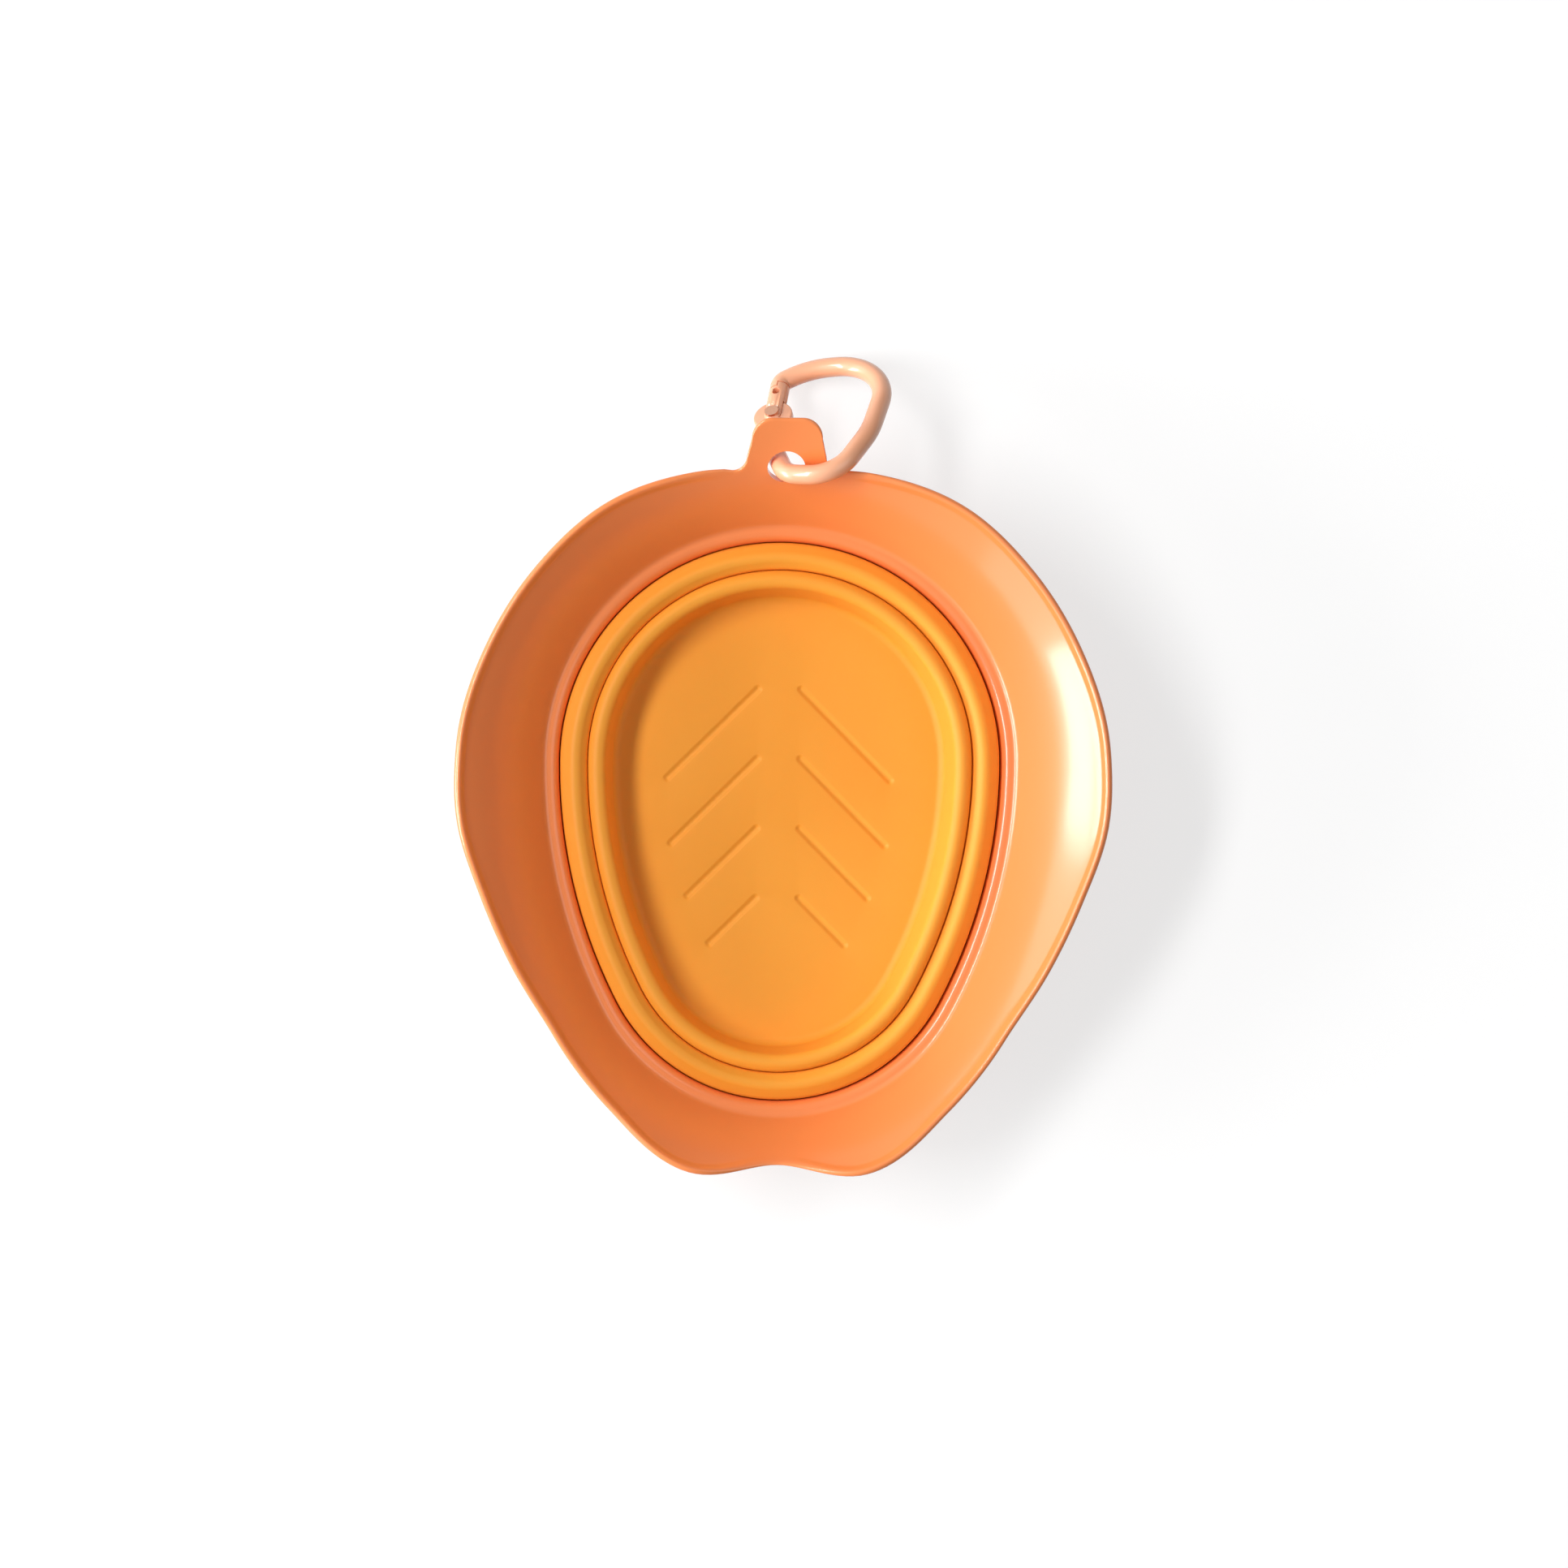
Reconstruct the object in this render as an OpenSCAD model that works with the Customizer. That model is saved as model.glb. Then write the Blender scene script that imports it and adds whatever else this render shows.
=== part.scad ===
// Collapsible travel bowl for a pet, folded flat, with a snap ring through its tab.
// Z is up, the bowl stands on z = 0, Y runs from the pouring notch to the tab.

/* [Soft bowl] */
// Width of the soft bowl where it meets the collar
bowl_w = 93.6; // [86:0.2:100]
// Length of the soft bowl where it meets the collar
bowl_l = 118.5; // [112:0.5:126]
// Radius of the long sides of the egg outline
side_r = 110; // [100:1:140]
// Thickness of the folding wall
fold_t = 1.5; // [1.2:0.05:1.6]
// Height of the two ridges when the bowl is folded
crest_z = 12; // [11:0.1:13]
// Width of the outer ridge between the middles of its upright walls
ridge_w = 4.05; // [3.9:0.05:4.4]
// Slope of the ridges' sides
ridge_slope = 40; // [38:1:42]
// How far the inner ridge rises inwards from the valley's wall
inner_rise = 1.2; // [1.15:0.05:1.5]
// Bend radius on the middle of the wall at the top of a ridge
crest_r = 1; // [1:0.05:1.1]
// Bend radius on the middle of the wall at the foot of a ridge's slope
shoulder_r = 1; // [0.95:0.05:1.1]
// Bend radius on the middle of the wall at the valley between the ridges
valley_r = 0.9; // [0.9:0.05:1.2]
// Height of the valley fold's underside
valley_z = 2; // [1.6:0.1:2.6]
// Height of the seam bead that the collar holds
bead_z = 3; // [2.8:0.1:3.4]
// Depth that the seam bead reaches into the collar
bead_d = 0.75; // [0.5:0.05:0.9]
// Height of the seam bead's section
bead_h = 1.8; // [1.4:0.1:2.2]

/* [Floor] */
// Thickness of the floor
floor_t = 2.6; // [2.2:0.1:3.2]
// Fillet between wall and floor
floor_fillet = 2; // [1:0.1:3]
// Rounding of the foot's outer edge
foot_round = 1.4; // [0.8:0.1:1.8]
// Slope of the innermost wall
wall_turn = 78; // [74:1:82]
// Width of a floor groove
groove_w = 2.2; // [1.6:0.1:3]
// Depth of a floor groove
groove_d = 0.45; // [0.2:0.05:0.8]
// Distance from the middle line to the inner end of each groove
groove_in = 4.6; // [3:0.1:6]
// Distance between one pair of grooves and the next
groove_pitch = 14.8; // [13:0.1:16]
// Length of the longest groove
groove_l = 27; // [22:0.5:30]
// Distance of the first pair's inner ends from the middle of the bowl
groove_y = 28; // [24:0.5:32]

/* [Collar] */
// Thickness of the collar's wall
collar_t = 2; // [1.6:0.1:2.4]
// Height of the shelf round the soft bowl
shelf_z = 10.3; // [9.6:0.1:11]
// Width of the shelf
shelf_w = 2.6; // [2.4:0.1:3.2]
// Rounding of the shelf's inner edge
shelf_round = 2.2; // [1.6:0.1:2.4]
// Thickness of the skirt under the shelf
skirt_t = 1.6; // [1.3:0.1:2]
// Height of the skirt's lower edge
skirt_z = 2.2; // [1.8:0.1:2.6]
// Widest distance from the soft bowl to the rim
flare_w = 22.7; // [19:0.1:26]
// Width of the fillet at the foot of the wall
wall_fillet = 1.5; // [1:0.1:2.5]
// Radius of the wall's outward sweep
sweep_r = 25; // [22:0.5:32]
// Width of the rim's bead
lip_w = 2.4; // [1.6:0.1:3]
// Height of the rim's bead above the wall
lip_h = 0.6; // [0.3:0.05:1]
// Depth of the pouring notch
notch_d = 1.55; // [1:0.05:2.5]
// Half the width of the pouring notch, along the soft bowl
notch_w = 13; // [10:0.5:16]

/* [Tab] */
// Width of the tab near its end
tab_w = 15; // [14:0.1:17]
// Width of the tab where it leaves the rim
tab_root_w = 16.8; // [15.5:0.1:18]
// How far the tab stands out from the rim
tab_l = 11.1; // [10.5:0.1:13]
// Radius of the tab's outer corners
tab_corner = 4.3; // [3:0.1:5.5]
// Radius of the fillets between tab and rim
tab_fillet = 3; // [2:0.1:4]
// Slope of the tab
tab_slope = 28; // [24:1:32]
// Diameter of the hole in the tab
hole_d = 8; // [7.8:0.1:8.4]
// Distance of the hole's centre beyond the rim
hole_out = 1; // [0.6:0.1:1.6]

/* [Snap ring] */
// Diameter of the ring's wire
wire_d = 4.2; // [3.8:0.1:4.3]
// Length of the ring between the wire's middle lines
ring_l = 33.4; // [32:0.2:35]
// Width of the ring between the wire's middle lines
ring_w = 24; // [22:0.2:25]
// Downward tilt of the ring away from the collar
ring_tilt = 45; // [43:1:48]
// Sideways tilt of the ring
ring_roll = 22; // [20:1:24]
// How far to the side of the hole's centre the wire passes
ring_side = 1; // [0.9:0.05:1.1]
// Diameter of the hinge eye
eye_d = 8.4; // [7.4:0.1:9]
// Thickness of the hinge eye
eye_t = 1.8; // [1.4:0.1:2]
// Diameter of the rivet and the latch pin
pin_d = 1.4; // [1.2:0.1:1.6]
// Diameter of the rivet's heads
head_d = 3; // [2.4:0.1:3.4]
// Height of the rivet's heads
head_h = 0.5; // [0.3:0.05:0.7]

/* [Fits] */
// Gap between the soft wall and the collar
soft_gap = 0.3; // [0.2:0.05:0.4]
// Gap at the seams where the soft wall's stretches meet
seam_gap = 0.1; // [0.05:0.01:0.15]
// Gap round the seam bead in its groove
bead_gap = 0.05; // [0.02:0.01:0.1]
// Running clearance of the rivet, on the radius
pin_gap = 0.05; // [0.03:0.01:0.08]
// Side clearance of the gate on the tongue and the eye
gate_gap = 0.2; // [0.15:0.05:0.3]

/* [Hidden] */
$fn = 64;

coral = [0.95, 0.53, 0.30];
amber = [0.98, 0.62, 0.24];
pale_coral = [0.97, 0.62, 0.45];
steel = [0.75, 0.76, 0.78];

// Directions of a full turn and its parts
turn = 360;
half_turn = 180;
quarter = 90;
// Overrun of a cut past the face that it opens
overrun = 1;
// Where two swept stretches join, one is thicker by a hair and takes in the other's end
hair = 0.02;
poke = 0.15;

// Egg outline of the soft bowl: one round head, two long sides, one smaller tail
head_r = bowl_w / 2;
head_y = bowl_l / 2 - head_r;
side_x = side_r - head_r;
tail_reach = head_y + bowl_l / 2;
tail_r = (side_r * side_r - side_x * side_x - tail_reach * tail_reach) / (2 * (side_r - tail_reach));
tail_y = tail_r - bowl_l / 2;
side_turn = atan2(head_y - tail_y, side_x);

// Folded wall, by depth inwards from the outline
outer_leg = soft_gap + fold_t / 2;
crest_share = 0.55;
crest_1 = outer_leg + ridge_w * crest_share;
mid_leg = outer_leg + ridge_w;
valley = mid_leg + valley_r;
inner_leg = valley + valley_r;
crest_2 = inner_leg + inner_rise;
crest_mid = crest_z - fold_t / 2 - crest_r;
valley_mid = valley_z + fold_t / 2 + valley_r;
arc_steps = 8;
seam_turn = seam_gap / crest_r * half_turn / PI;

// Height of the bend's centre at the foot of a slope that runs in to a ridge
function shoulder_z(run) =
    crest_mid + (crest_r - shoulder_r) * cos(ridge_slope)
    - (run - crest_r * sin(ridge_slope) - shoulder_r * (1 - sin(ridge_slope))) * tan(ridge_slope);

function arc(x, z, r, from, to, n = arc_steps) =
    [for (i = [0:n]) let (a = from + (to - from) * i / n) [x + r * cos(a), z + r * sin(a)]];

function backwards(points) = [for (i = [len(points) - 1:-1:0]) points[i]];
function unit(v) = v / norm(v);

// Way along the egg outline from the middle of the tail to the point whose normal points
// at turn_y degrees
tail_run = tail_r * (quarter - side_turn) * PI / half_turn;
side_run = tail_run + side_r * side_turn * PI / half_turn;
head_run = side_run + head_r * quarter * PI / half_turn;
function egg_run(turn_y) =
    turn_y >= 0 ? side_run + head_r * turn_y * PI / half_turn
    : turn_y >= -side_turn ? side_run + side_r * turn_y * PI / half_turn
    : tail_run + tail_r * (turn_y + side_turn) * PI / half_turn;

// Collar: shares of the widest flare, at even steps along the outline from the notch,
// past the widest side, to the tab.
flare_shares = [
    0.659, 0.808, 0.684, 0.678, 0.781, 0.887, 1, 0.983, 0.912, 0.874, 0.858, 0.759, 0.653
];
wall_slope = 1.32;

function flare_share(i) =
    let (last = len(flare_shares) - 1, j = abs(i), k = j > last ? 2 * last - j : j) flare_shares[k];

// Smooth curve through four shares in a row
function smooth_share(a, b, c, d, t) =
    b + t * (c - a + t * (2 * a - 5 * b + 4 * c - d + t * (3 * (b - c) + d - a))) / 2;

function notch(turn_y) = let (t = egg_run(turn_y) / notch_w) t < 1 ? pow(cos(quarter * t), 2) : 0;

function flare(turn_y) =
    let (last = len(flare_shares) - 1, u = last * egg_run(turn_y) / head_run, i = min(floor(u), last - 1), t = u - i)
    flare_w * smooth_share(flare_share(i - 1), flare_share(i), flare_share(i + 1), flare_share(i + 2), t)
    - notch_d * notch(turn_y);

// Point at a distance out from the egg outline, where its normal points at turn_y degrees
function egg_point(turn_y, out) =
    turn_y >= 0 ? [(head_r + out) * cos(turn_y), head_y + (head_r + out) * sin(turn_y)]
    : turn_y >= -side_turn ? [(side_r + out) * cos(turn_y) - side_x, head_y + (side_r + out) * sin(turn_y)]
    : [(tail_r + out) * cos(turn_y), tail_y + (tail_r + out) * sin(turn_y)];

// Direction of the normal and distance out from the egg outline, for a point
function egg_place(p) =
    let (x = abs(p.x), side = atan2(p.y - head_y, x + side_x))
    p.y >= head_y ? [atan2(p.y - head_y, x), norm([x, p.y - head_y]) - head_r]
    : side >= -side_turn ? [side, norm([x + side_x, p.y - head_y]) - side_r]
    : [atan2(p.y - tail_y, x), norm([x, p.y - tail_y]) - tail_r];

// Rise of the collar's wall at a distance out from the outline, and its slope there
function wall_rise(out) =
    let (s = out - shelf_w, past = s - wall_fillet)
    s <= 0 ? 0
    : past <= 0 ? wall_slope * s * s / (2 * wall_fillet)
    : wall_slope * (s - wall_fillet / 2) - past * past / (2 * sweep_r);

function wall_steep(out) =
    let (s = out - shelf_w, past = s - wall_fillet)
    s <= 0 ? 0 : past <= 0 ? wall_slope * s / wall_fillet : wall_slope - past / sweep_r;

// Bead on the rim: it fades beside the tab and in the notch
lip_fade = 12;
tab_turn = 12;
function lip_share(turn_y) =
    max(0, min(1, (quarter - tab_turn - turn_y) / lip_fade)) * (1 - notch(turn_y));

function lip(turn_y, out) =
    let (t = (flare(turn_y) - out) / lip_w)
    t > 0 && t < 1 ? lip_h * lip_share(turn_y) * pow(sin(half_turn * t), 2) : 0;

// Top surface: the rounded shelf edge, the shelf, the wall, and the tab past the rim
tab_blend = 3;
function edge_drop(out) =
    out < shelf_round ? shelf_round - sqrt(max(0, pow(shelf_round, 2) - pow(shelf_round - out, 2))) : 0;

function past_rim(turn_y, out) =
    let (e = flare(turn_y), past = out - e, steep = wall_steep(e), ease = min(past, tab_blend))
    past <= 0 ? 0 : steep * ease + (tan(tab_slope) - steep) * ease * ease / (2 * tab_blend)
    + tan(tab_slope) * (past - ease);

function top_z(p) =
    let (place = egg_place(p), turn_y = place[0], out = place[1])
    shelf_z + wall_rise(min(out, flare(turn_y))) + lip(turn_y, out) + past_rim(turn_y, out) - edge_drop(out);

function wall_depth(p) =
    let (place = egg_place(p), steep = place[1] < flare(place[0]) ? wall_steep(place[1]) : tan(tab_slope))
    collar_t * sqrt(1 + steep * steep);

// Tab outline, right half, from the rim to the tip
rim_y = bowl_l / 2 + flare(quarter);
tab_y = rim_y + tab_l;
tab_steps = 5;
tab_half = concat(
    arc(tab_root_w / 2 + tab_fillet, rim_y + tab_fillet, tab_fillet, turn - quarter, half_turn, tab_steps),
    arc(tab_w / 2 - tab_corner, tab_y - tab_corner, tab_corner, 0, quarter, tab_steps),
    [for (i = [1:2]) [(tab_w / 2 - tab_corner) * (1 - i / 2), tab_y]]
);

// Section lines of the collar, from the egg outline out to the edge, right half first
rim_step = 3;
side_step = 1.6;
rim_turns = concat(
    [for (a = [-quarter:rim_step:-side_turn - rim_step / 2]) a],
    [for (a = [-side_turn:side_step:-side_step / 2]) a],
    [for (a = [0:rim_step:quarter - tab_turn]) a]
);
last_turn = rim_turns[len(rim_turns) - 1];
right_lines = concat(
    [for (a = rim_turns) [egg_point(a, 0), egg_point(a, flare(a))]],
    [for (i = [0:len(tab_half) - 1])
        let (a = last_turn + (quarter - last_turn) * (i + 1) / len(tab_half))
        [egg_point(a, 0), tab_half[i]]]
);
left_lines = [
    for (i = [len(right_lines) - 2:-1:1])
        let (l = right_lines[i]) [[-l[0].x, l[0].y], [-l[1].x, l[1].y]]
];
lines = concat(right_lines, left_lines);

// Distances out along a section line, for its upper and its lower side
round_shares = [0.08, 0.3, 0.6, 1];
wall_shares = [0, 0.12, 0.28, 0.46, 0.64, 0.82, 1];
edge_share = 0.45;
edge_r = collar_t * edge_share;
function up_stops(l) =
    let (from = shelf_w + wall_fillet, to = norm(l[1] - l[0]) - lip_w)
    concat(
        [for (t = round_shares) shelf_round * t],
        [shelf_w, shelf_w + wall_fillet / 2],
        [for (t = wall_shares) from + (to - from) * t],
        [to + lip_w / 4, to + lip_w / 2, to + lip_w - edge_r, to + lip_w - edge_r / 4]
    );
function down_stops(l) =
    let (from = shelf_w + wall_fillet, to = norm(l[1] - l[0]) - edge_r / 2)
    [for (i = [len(wall_shares) - 1:-1:0]) from + (to - from) * wall_shares[i]];

function on_line(l, s) = l[0] + (l[1] - l[0]) * s / norm(l[1] - l[0]);

function section(l) =
    let (edge = l[1], edge_z = top_z(edge), inset = edge_r / 4, long = norm(edge - l[0]))
    concat(
        [for (z = [skirt_z, bead_z - bead_gap]) [l[0], z]],
        [for (z = [bead_z - bead_gap, bead_z + bead_h + bead_gap]) [on_line(l, bead_d + bead_gap), z]],
        [for (z = [bead_z + bead_h + bead_gap, shelf_z - shelf_round]) [l[0], z]],
        [for (s = up_stops(l))
            let (p = on_line(l, s), near = max(0, edge_r + s - long))
            [p, top_z(p) - (edge_r - sqrt(edge_r * edge_r - near * near))]],
        [[edge, edge_z - edge_r], [edge, edge_z - wall_depth(edge) + edge_r / 2]],
        [for (s = down_stops(l)) let (p = on_line(l, s)) [p, top_z(p) - wall_depth(p)]],
        [[on_line(l, skirt_t), shelf_z - collar_t - skirt_t / 2], [on_line(l, skirt_t), skirt_z]]
    );

module loft() {
    sections = [for (l = lines) section(l)];
    n = len(sections);
    m = len(sections[0]);
    points = [for (s = sections) for (q = s) [q[0].x, q[0].y, q[1]]];
    faces = [
        for (i = [0:n - 1]) for (j = [0:m - 1])
            let (k = (j + 1) % m, here = i * m, next = (i + 1) % n * m)
            each [[here + j, next + j, here + k], [here + k, next + j, next + k]]
    ];
    polyhedron(points, faces);
}

// Hole in the tab, square to the tab's top face
hole_y = rim_y + hole_out;
hole_z = top_z([0, hole_y]) - collar_t / 2;

module at_hole() {
    translate([0, hole_y, hole_z]) rotate([tab_slope, 0, 0]) children();
}

module collar() {
    color(coral)
    difference() {
        loft();
        at_hole() cylinder(h = hole_d, d = hole_d, center = true);
    }
}

// Sweeps a wall section round the egg outline: x is minus the depth in from the outline.
// The first child goes round the head and the sides, the second one round the tail.
module egg_sweep() {
    poke_turn = poke / side_r * half_turn / PI;
    translate([0, head_y, 0]) rotate_extrude(angle = half_turn) translate([head_r, 0]) children(0);
    for (m = [0, 1])
        mirror([m, 0, 0]) translate([-side_x, head_y, 0])
            rotate_extrude(start = -side_turn - poke_turn, angle = side_turn + poke_turn)
                translate([side_r, 0]) children(0);
    translate([0, tail_y, 0])
        rotate_extrude(start = half_turn + side_turn, angle = half_turn - 2 * side_turn)
            translate([tail_r, 0]) children(1);
}

// Wall section of even thickness along arcs [x, z, radius, from, to, side of the outer face],
// grown by a small amount all round
function grown(arcs, grow) = [
    for (i = [0:len(arcs) - 1])
        let (a = arcs[i], more = sign(a[4] - a[3]) * grow / a[2] * half_turn / PI)
        [a[0], a[1], a[2], a[3] - (i == 0 ? more : 0), a[4] + (i == len(arcs) - 1 ? more : 0), a[5]]
];
function wall_side(arcs, side) = [for (a = arcs) each arc(a[0], a[1], a[2] + a[5] * side, a[3], a[4])];
function wall_section(arcs, grow) =
    let (line = grown(arcs, grow), side = fold_t / 2 + grow)
    concat(wall_side(line, side), backwards(wall_side(line, -side)));

module soft_wall(arcs) {
    color(amber)
    egg_sweep() {
        polygon(wall_section(arcs, 0));
        polygon(wall_section(arcs, hair));
    }
}

module bead_section(grow) {
    wall_at = 3 * hair - soft_gap;
    translate([wall_at - grow, bead_z - grow])
        square([bead_d - wall_at + 2 * grow, bead_h + 2 * grow]);
}

module bowl_flange() {
    color(amber)
    egg_sweep() {
        bead_section(0);
        bead_section(hair);
    }
}

// Outermost wall, from the bead up and round to the first ridge
function band_section(grow) =
    let (
        side = fold_t / 2 + grow,
        top = quarter - seam_turn + grow / crest_r * half_turn / PI,
        from = quarter - ridge_slope,
        at = -outer_leg - shoulder_r,
        low = shoulder_z(crest_1 - outer_leg)
    ) concat(
        [[-outer_leg - side, bead_z - grow], [-outer_leg + side, bead_z - grow]],
        arc(at, low, shoulder_r + side, 0, from),
        arc(-crest_1, crest_mid, crest_r + side, from, top),
        arc(-crest_1, crest_mid, crest_r - side, top, from),
        arc(at, low, shoulder_r - side, from, 0)
    );

module fold_band_outer() {
    color(amber)
    egg_sweep() {
        polygon(band_section(0));
        polygon(band_section(hair));
    }
}

module fold_ring() {
    soft_wall([
        [-crest_1, crest_mid, crest_r, quarter, quarter + ridge_slope, 1],
        [shoulder_r - mid_leg, shoulder_z(mid_leg - crest_1), shoulder_r, quarter + ridge_slope, half_turn, 1],
        [-valley, valley_mid, valley_r, turn, turn - quarter, -1]
    ]);
}

module fold_band_inner() {
    seam_low = seam_gap / valley_r * half_turn / PI;
    soft_wall([
        [-valley, valley_mid, valley_r, turn - quarter - seam_low, half_turn, 1],
        [-inner_leg - shoulder_r, shoulder_z(inner_rise), shoulder_r, 0, quarter - ridge_slope, -1],
        [-crest_2, crest_mid, crest_r, quarter - ridge_slope, quarter - seam_turn, -1]
    ]);
}

// Innermost wall down to the foot, and the fillet inside it that runs into the floor
fillet_dip = 0.05;
fillet_low = floor_t - fillet_dip + floor_fillet;
foot_low = hair + foot_round;
lean = quarter - wall_turn;

// Depth of a bend's centre below the wall, whose face there leaves the ridge at radius ridge_face
function below_ridge(ridge_face, z, r) =
    crest_2 + (ridge_face + r) * cos(lean) + (crest_mid - z + (ridge_face + r) * sin(lean)) / tan(wall_turn);
fillet_at = below_ridge(crest_r + fold_t / 2, fillet_low, floor_fillet);
foot_at = below_ridge(crest_r - fold_t / 2, foot_low, foot_round);

function base_section(grow) =
    let (
        half_t = fold_t / 2 + grow,
        top = quarter - grow / crest_r * half_turn / PI,
        plate_z = floor_t - fillet_dip + grow
    ) concat(
        arc(-crest_2, crest_mid, crest_r + half_t, top, quarter + wall_turn),
        arc(-fillet_at, fillet_low, floor_fillet - grow, -lean, -quarter),
        [[-fillet_at - grow - hair, plate_z], [-fillet_at - grow - hair, hair - grow]],
        arc(-foot_at, foot_low, foot_round + grow, -quarter, -lean),
        arc(-crest_2, crest_mid, crest_r - half_t, quarter + wall_turn, top)
    );

// Floor plate, its edge hidden in the foot
floor_step = 5;
module floor_plate() {
    depth = (foot_at + fillet_at) / 2;
    right = [for (a = [-quarter:floor_step:quarter]) egg_point(a, -depth)];
    left = [for (i = [len(right) - 2:-1:1]) [-right[i].x, right[i].y]];
    linear_extrude(height = floor_t) polygon(concat(right, left));
}

// Each groove pair falls away from the middle line; shares of the longest groove's length
groove_turn = 45;
groove_shares = [1, 0.95, 0.76, 0.51];

module groove(long) {
    for (x = [0, long])
        translate([x, 0, 0]) cylinder(h = groove_d + overrun, d = groove_w);
    translate([0, -groove_w / 2, 0]) cube([long, groove_w, groove_d + overrun]);
}

module bowl_base() {
    color(amber) {
        egg_sweep() {
            polygon(base_section(0));
            polygon(base_section(hair));
        }
        difference() {
            floor_plate();
            for (i = [0:len(groove_shares) - 1], m = [0, 1])
                mirror([m, 0, 0])
                    translate([groove_in, groove_y - i * groove_pitch, floor_t - groove_d])
                        rotate([0, 0, -groove_turn]) groove(groove_l * groove_shares[i]);
        }
    }
}

// Snap ring, drawn flat: x across the ring, y along it, the wire's middle on z = 0.
// Corners are shares of ring_w and ring_l, from the hinge round to the nose.
eye_at_share = [0.05, 0.521];
bend_shares = [[0.091, 0.306], [0.347, 0.007], [0.818, -0.006], [0.994, 0.404], [0.994, 1.041], [0.216, 0.974]];
bend_r_shares = [0.271, 0.197, 0.34, 0.822, 0.459, 0.702];
cross_share = [0.284, 0.081];
gate_turn = 96;
gate_share = 0.284;
nose_share = 0.046;
nose_r_share = 0.56;
gate_l = ring_l * gate_share;
nose_l = ring_l * nose_share;
nose_r = wire_d * nose_r_share;

function in_ring(share) = [share.x * ring_w, share.y * ring_l];
eye_at = in_ring(eye_at_share);
gate_way = [cos(gate_turn), sin(gate_turn)];
nose_end = eye_at + gate_l * gate_way;
nose_bend = nose_end + nose_l * gate_way;

function heading(a, b) = atan2(b.y - a.y, b.x - a.x);
function bend(a, b, c) =
    let (d = heading(b, c) - heading(a, b)) d > half_turn ? d - turn : d < -half_turn ? d + turn : d;

// Bar between two points of the drawing, thinner by a hair than the bends that take its ends
module bar(a, b) {
    translate([a.x, a.y, 0]) rotate([0, 0, heading(a, b)]) rotate([0, quarter, 0])
        cylinder(h = norm(b - a), r = wire_d / 2 - hair);
}

// Wire bent at each corner with its own radius
module bent_wire(corners, radii) {
    last = len(corners) - 1;
    lead = [
        for (i = [0:last])
            i == 0 || i == last ? poke
            : radii[i] * tan(abs(bend(corners[i - 1], corners[i], corners[i + 1])) / 2)
    ];
    for (i = [0:last - 1])
        let (way = unit(corners[i + 1] - corners[i]))
            bar(corners[i] + (lead[i] - poke) * way, corners[i + 1] - (lead[i + 1] - poke) * way);
    for (i = [1:last - 1])
        let (
            angle = bend(corners[i - 1], corners[i], corners[i + 1]),
            from = heading(corners[i - 1], corners[i]) - quarter,
            start = corners[i] - lead[i] * unit(corners[i] - corners[i - 1]),
            centre = start - radii[i] * [cos(from), sin(from)]
        )
            translate([centre.x, centre.y, 0]) rotate([0, 0, from])
                rotate_extrude(angle = angle) translate([radii[i], 0]) circle(d = wire_d);
}

// Lapped ends of nose and gate: each loses one half of its width over lap_l.
// The gap before the tongue lets the gate's shoulder swing past it.
lap_share = 0.3;
lap_l = wire_d * lap_share;
tip_gap = 2 * gate_gap;
eye_clear = wire_d / 2 + gate_gap;
wire_start = eye_at + eye_clear * unit(in_ring(bend_shares[0]) - eye_at);

module at_gate() {
    translate([eye_at.x, eye_at.y, 0]) rotate([0, 0, gate_turn]) children();
}

module at_ring() {
    cross = in_ring(cross_share);
    translate([-ring_side, hole_y, hole_z]) rotate([-ring_tilt, -ring_roll, 0])
        translate([-cross.x, -cross.y, 0]) children();
}

// Spring pocket in the lower half of the eye
pocket_share = 1.3;
pocket_r = pin_d * pocket_share;
pocket_h = eye_t / 2;

module carabiner_body() {
    color(pale_coral)
    at_ring() difference() {
        union() {
            bent_wire(
                concat([wire_start], [for (s = bend_shares) in_ring(s)], [nose_bend], [nose_end]),
                concat([0], bend_r_shares * ring_w, [nose_r, 0])
            );
            translate([eye_at.x, eye_at.y, 0]) cylinder(h = eye_t, d = eye_d, center = true);
            at_gate() intersection() {
                translate([gate_l - lap_l, 0, 0]) rotate([0, quarter, 0])
                    cylinder(h = lap_l + poke, r = wire_d / 2 - 2 * hair);
                translate([gate_l - 2 * lap_l, gate_gap / 2, -wire_d / 2])
                    cube([4 * lap_l, wire_d, wire_d]);
            }
        }
        translate([eye_at.x, eye_at.y, 0]) {
            cylinder(h = eye_t + overrun, r = pin_d / 2 + pin_gap, center = true);
            translate([0, 0, -eye_t / 2 - overrun]) cylinder(h = pocket_h + overrun, r = pocket_r);
        }
    }
}

module gate_spring() {
    color(steel)
    at_ring() translate([eye_at.x, eye_at.y, -eye_t / 2]) difference() {
        cylinder(h = pocket_h - pin_gap, r = pocket_r - pin_gap);
        translate([0, 0, -overrun]) cylinder(h = pocket_h + 2 * overrun, r = pin_d / 2 + 2 * pin_gap);
    }
}

// Flats on the gate's cheeks carry the rivet's heads
seat_share = 0.7;
head_seat = wire_d / 2 - head_h * seat_share;

module hinge_rivet() {
    color(steel)
    at_ring() translate([eye_at.x, eye_at.y, 0]) {
        cylinder(h = 2 * (head_seat + pin_gap + head_h / 2), d = pin_d, center = true);
        for (m = [0, 1])
            mirror([0, 0, m]) translate([0, 0, head_seat + pin_gap]) cylinder(h = head_h, d = head_d);
    }
}

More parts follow.
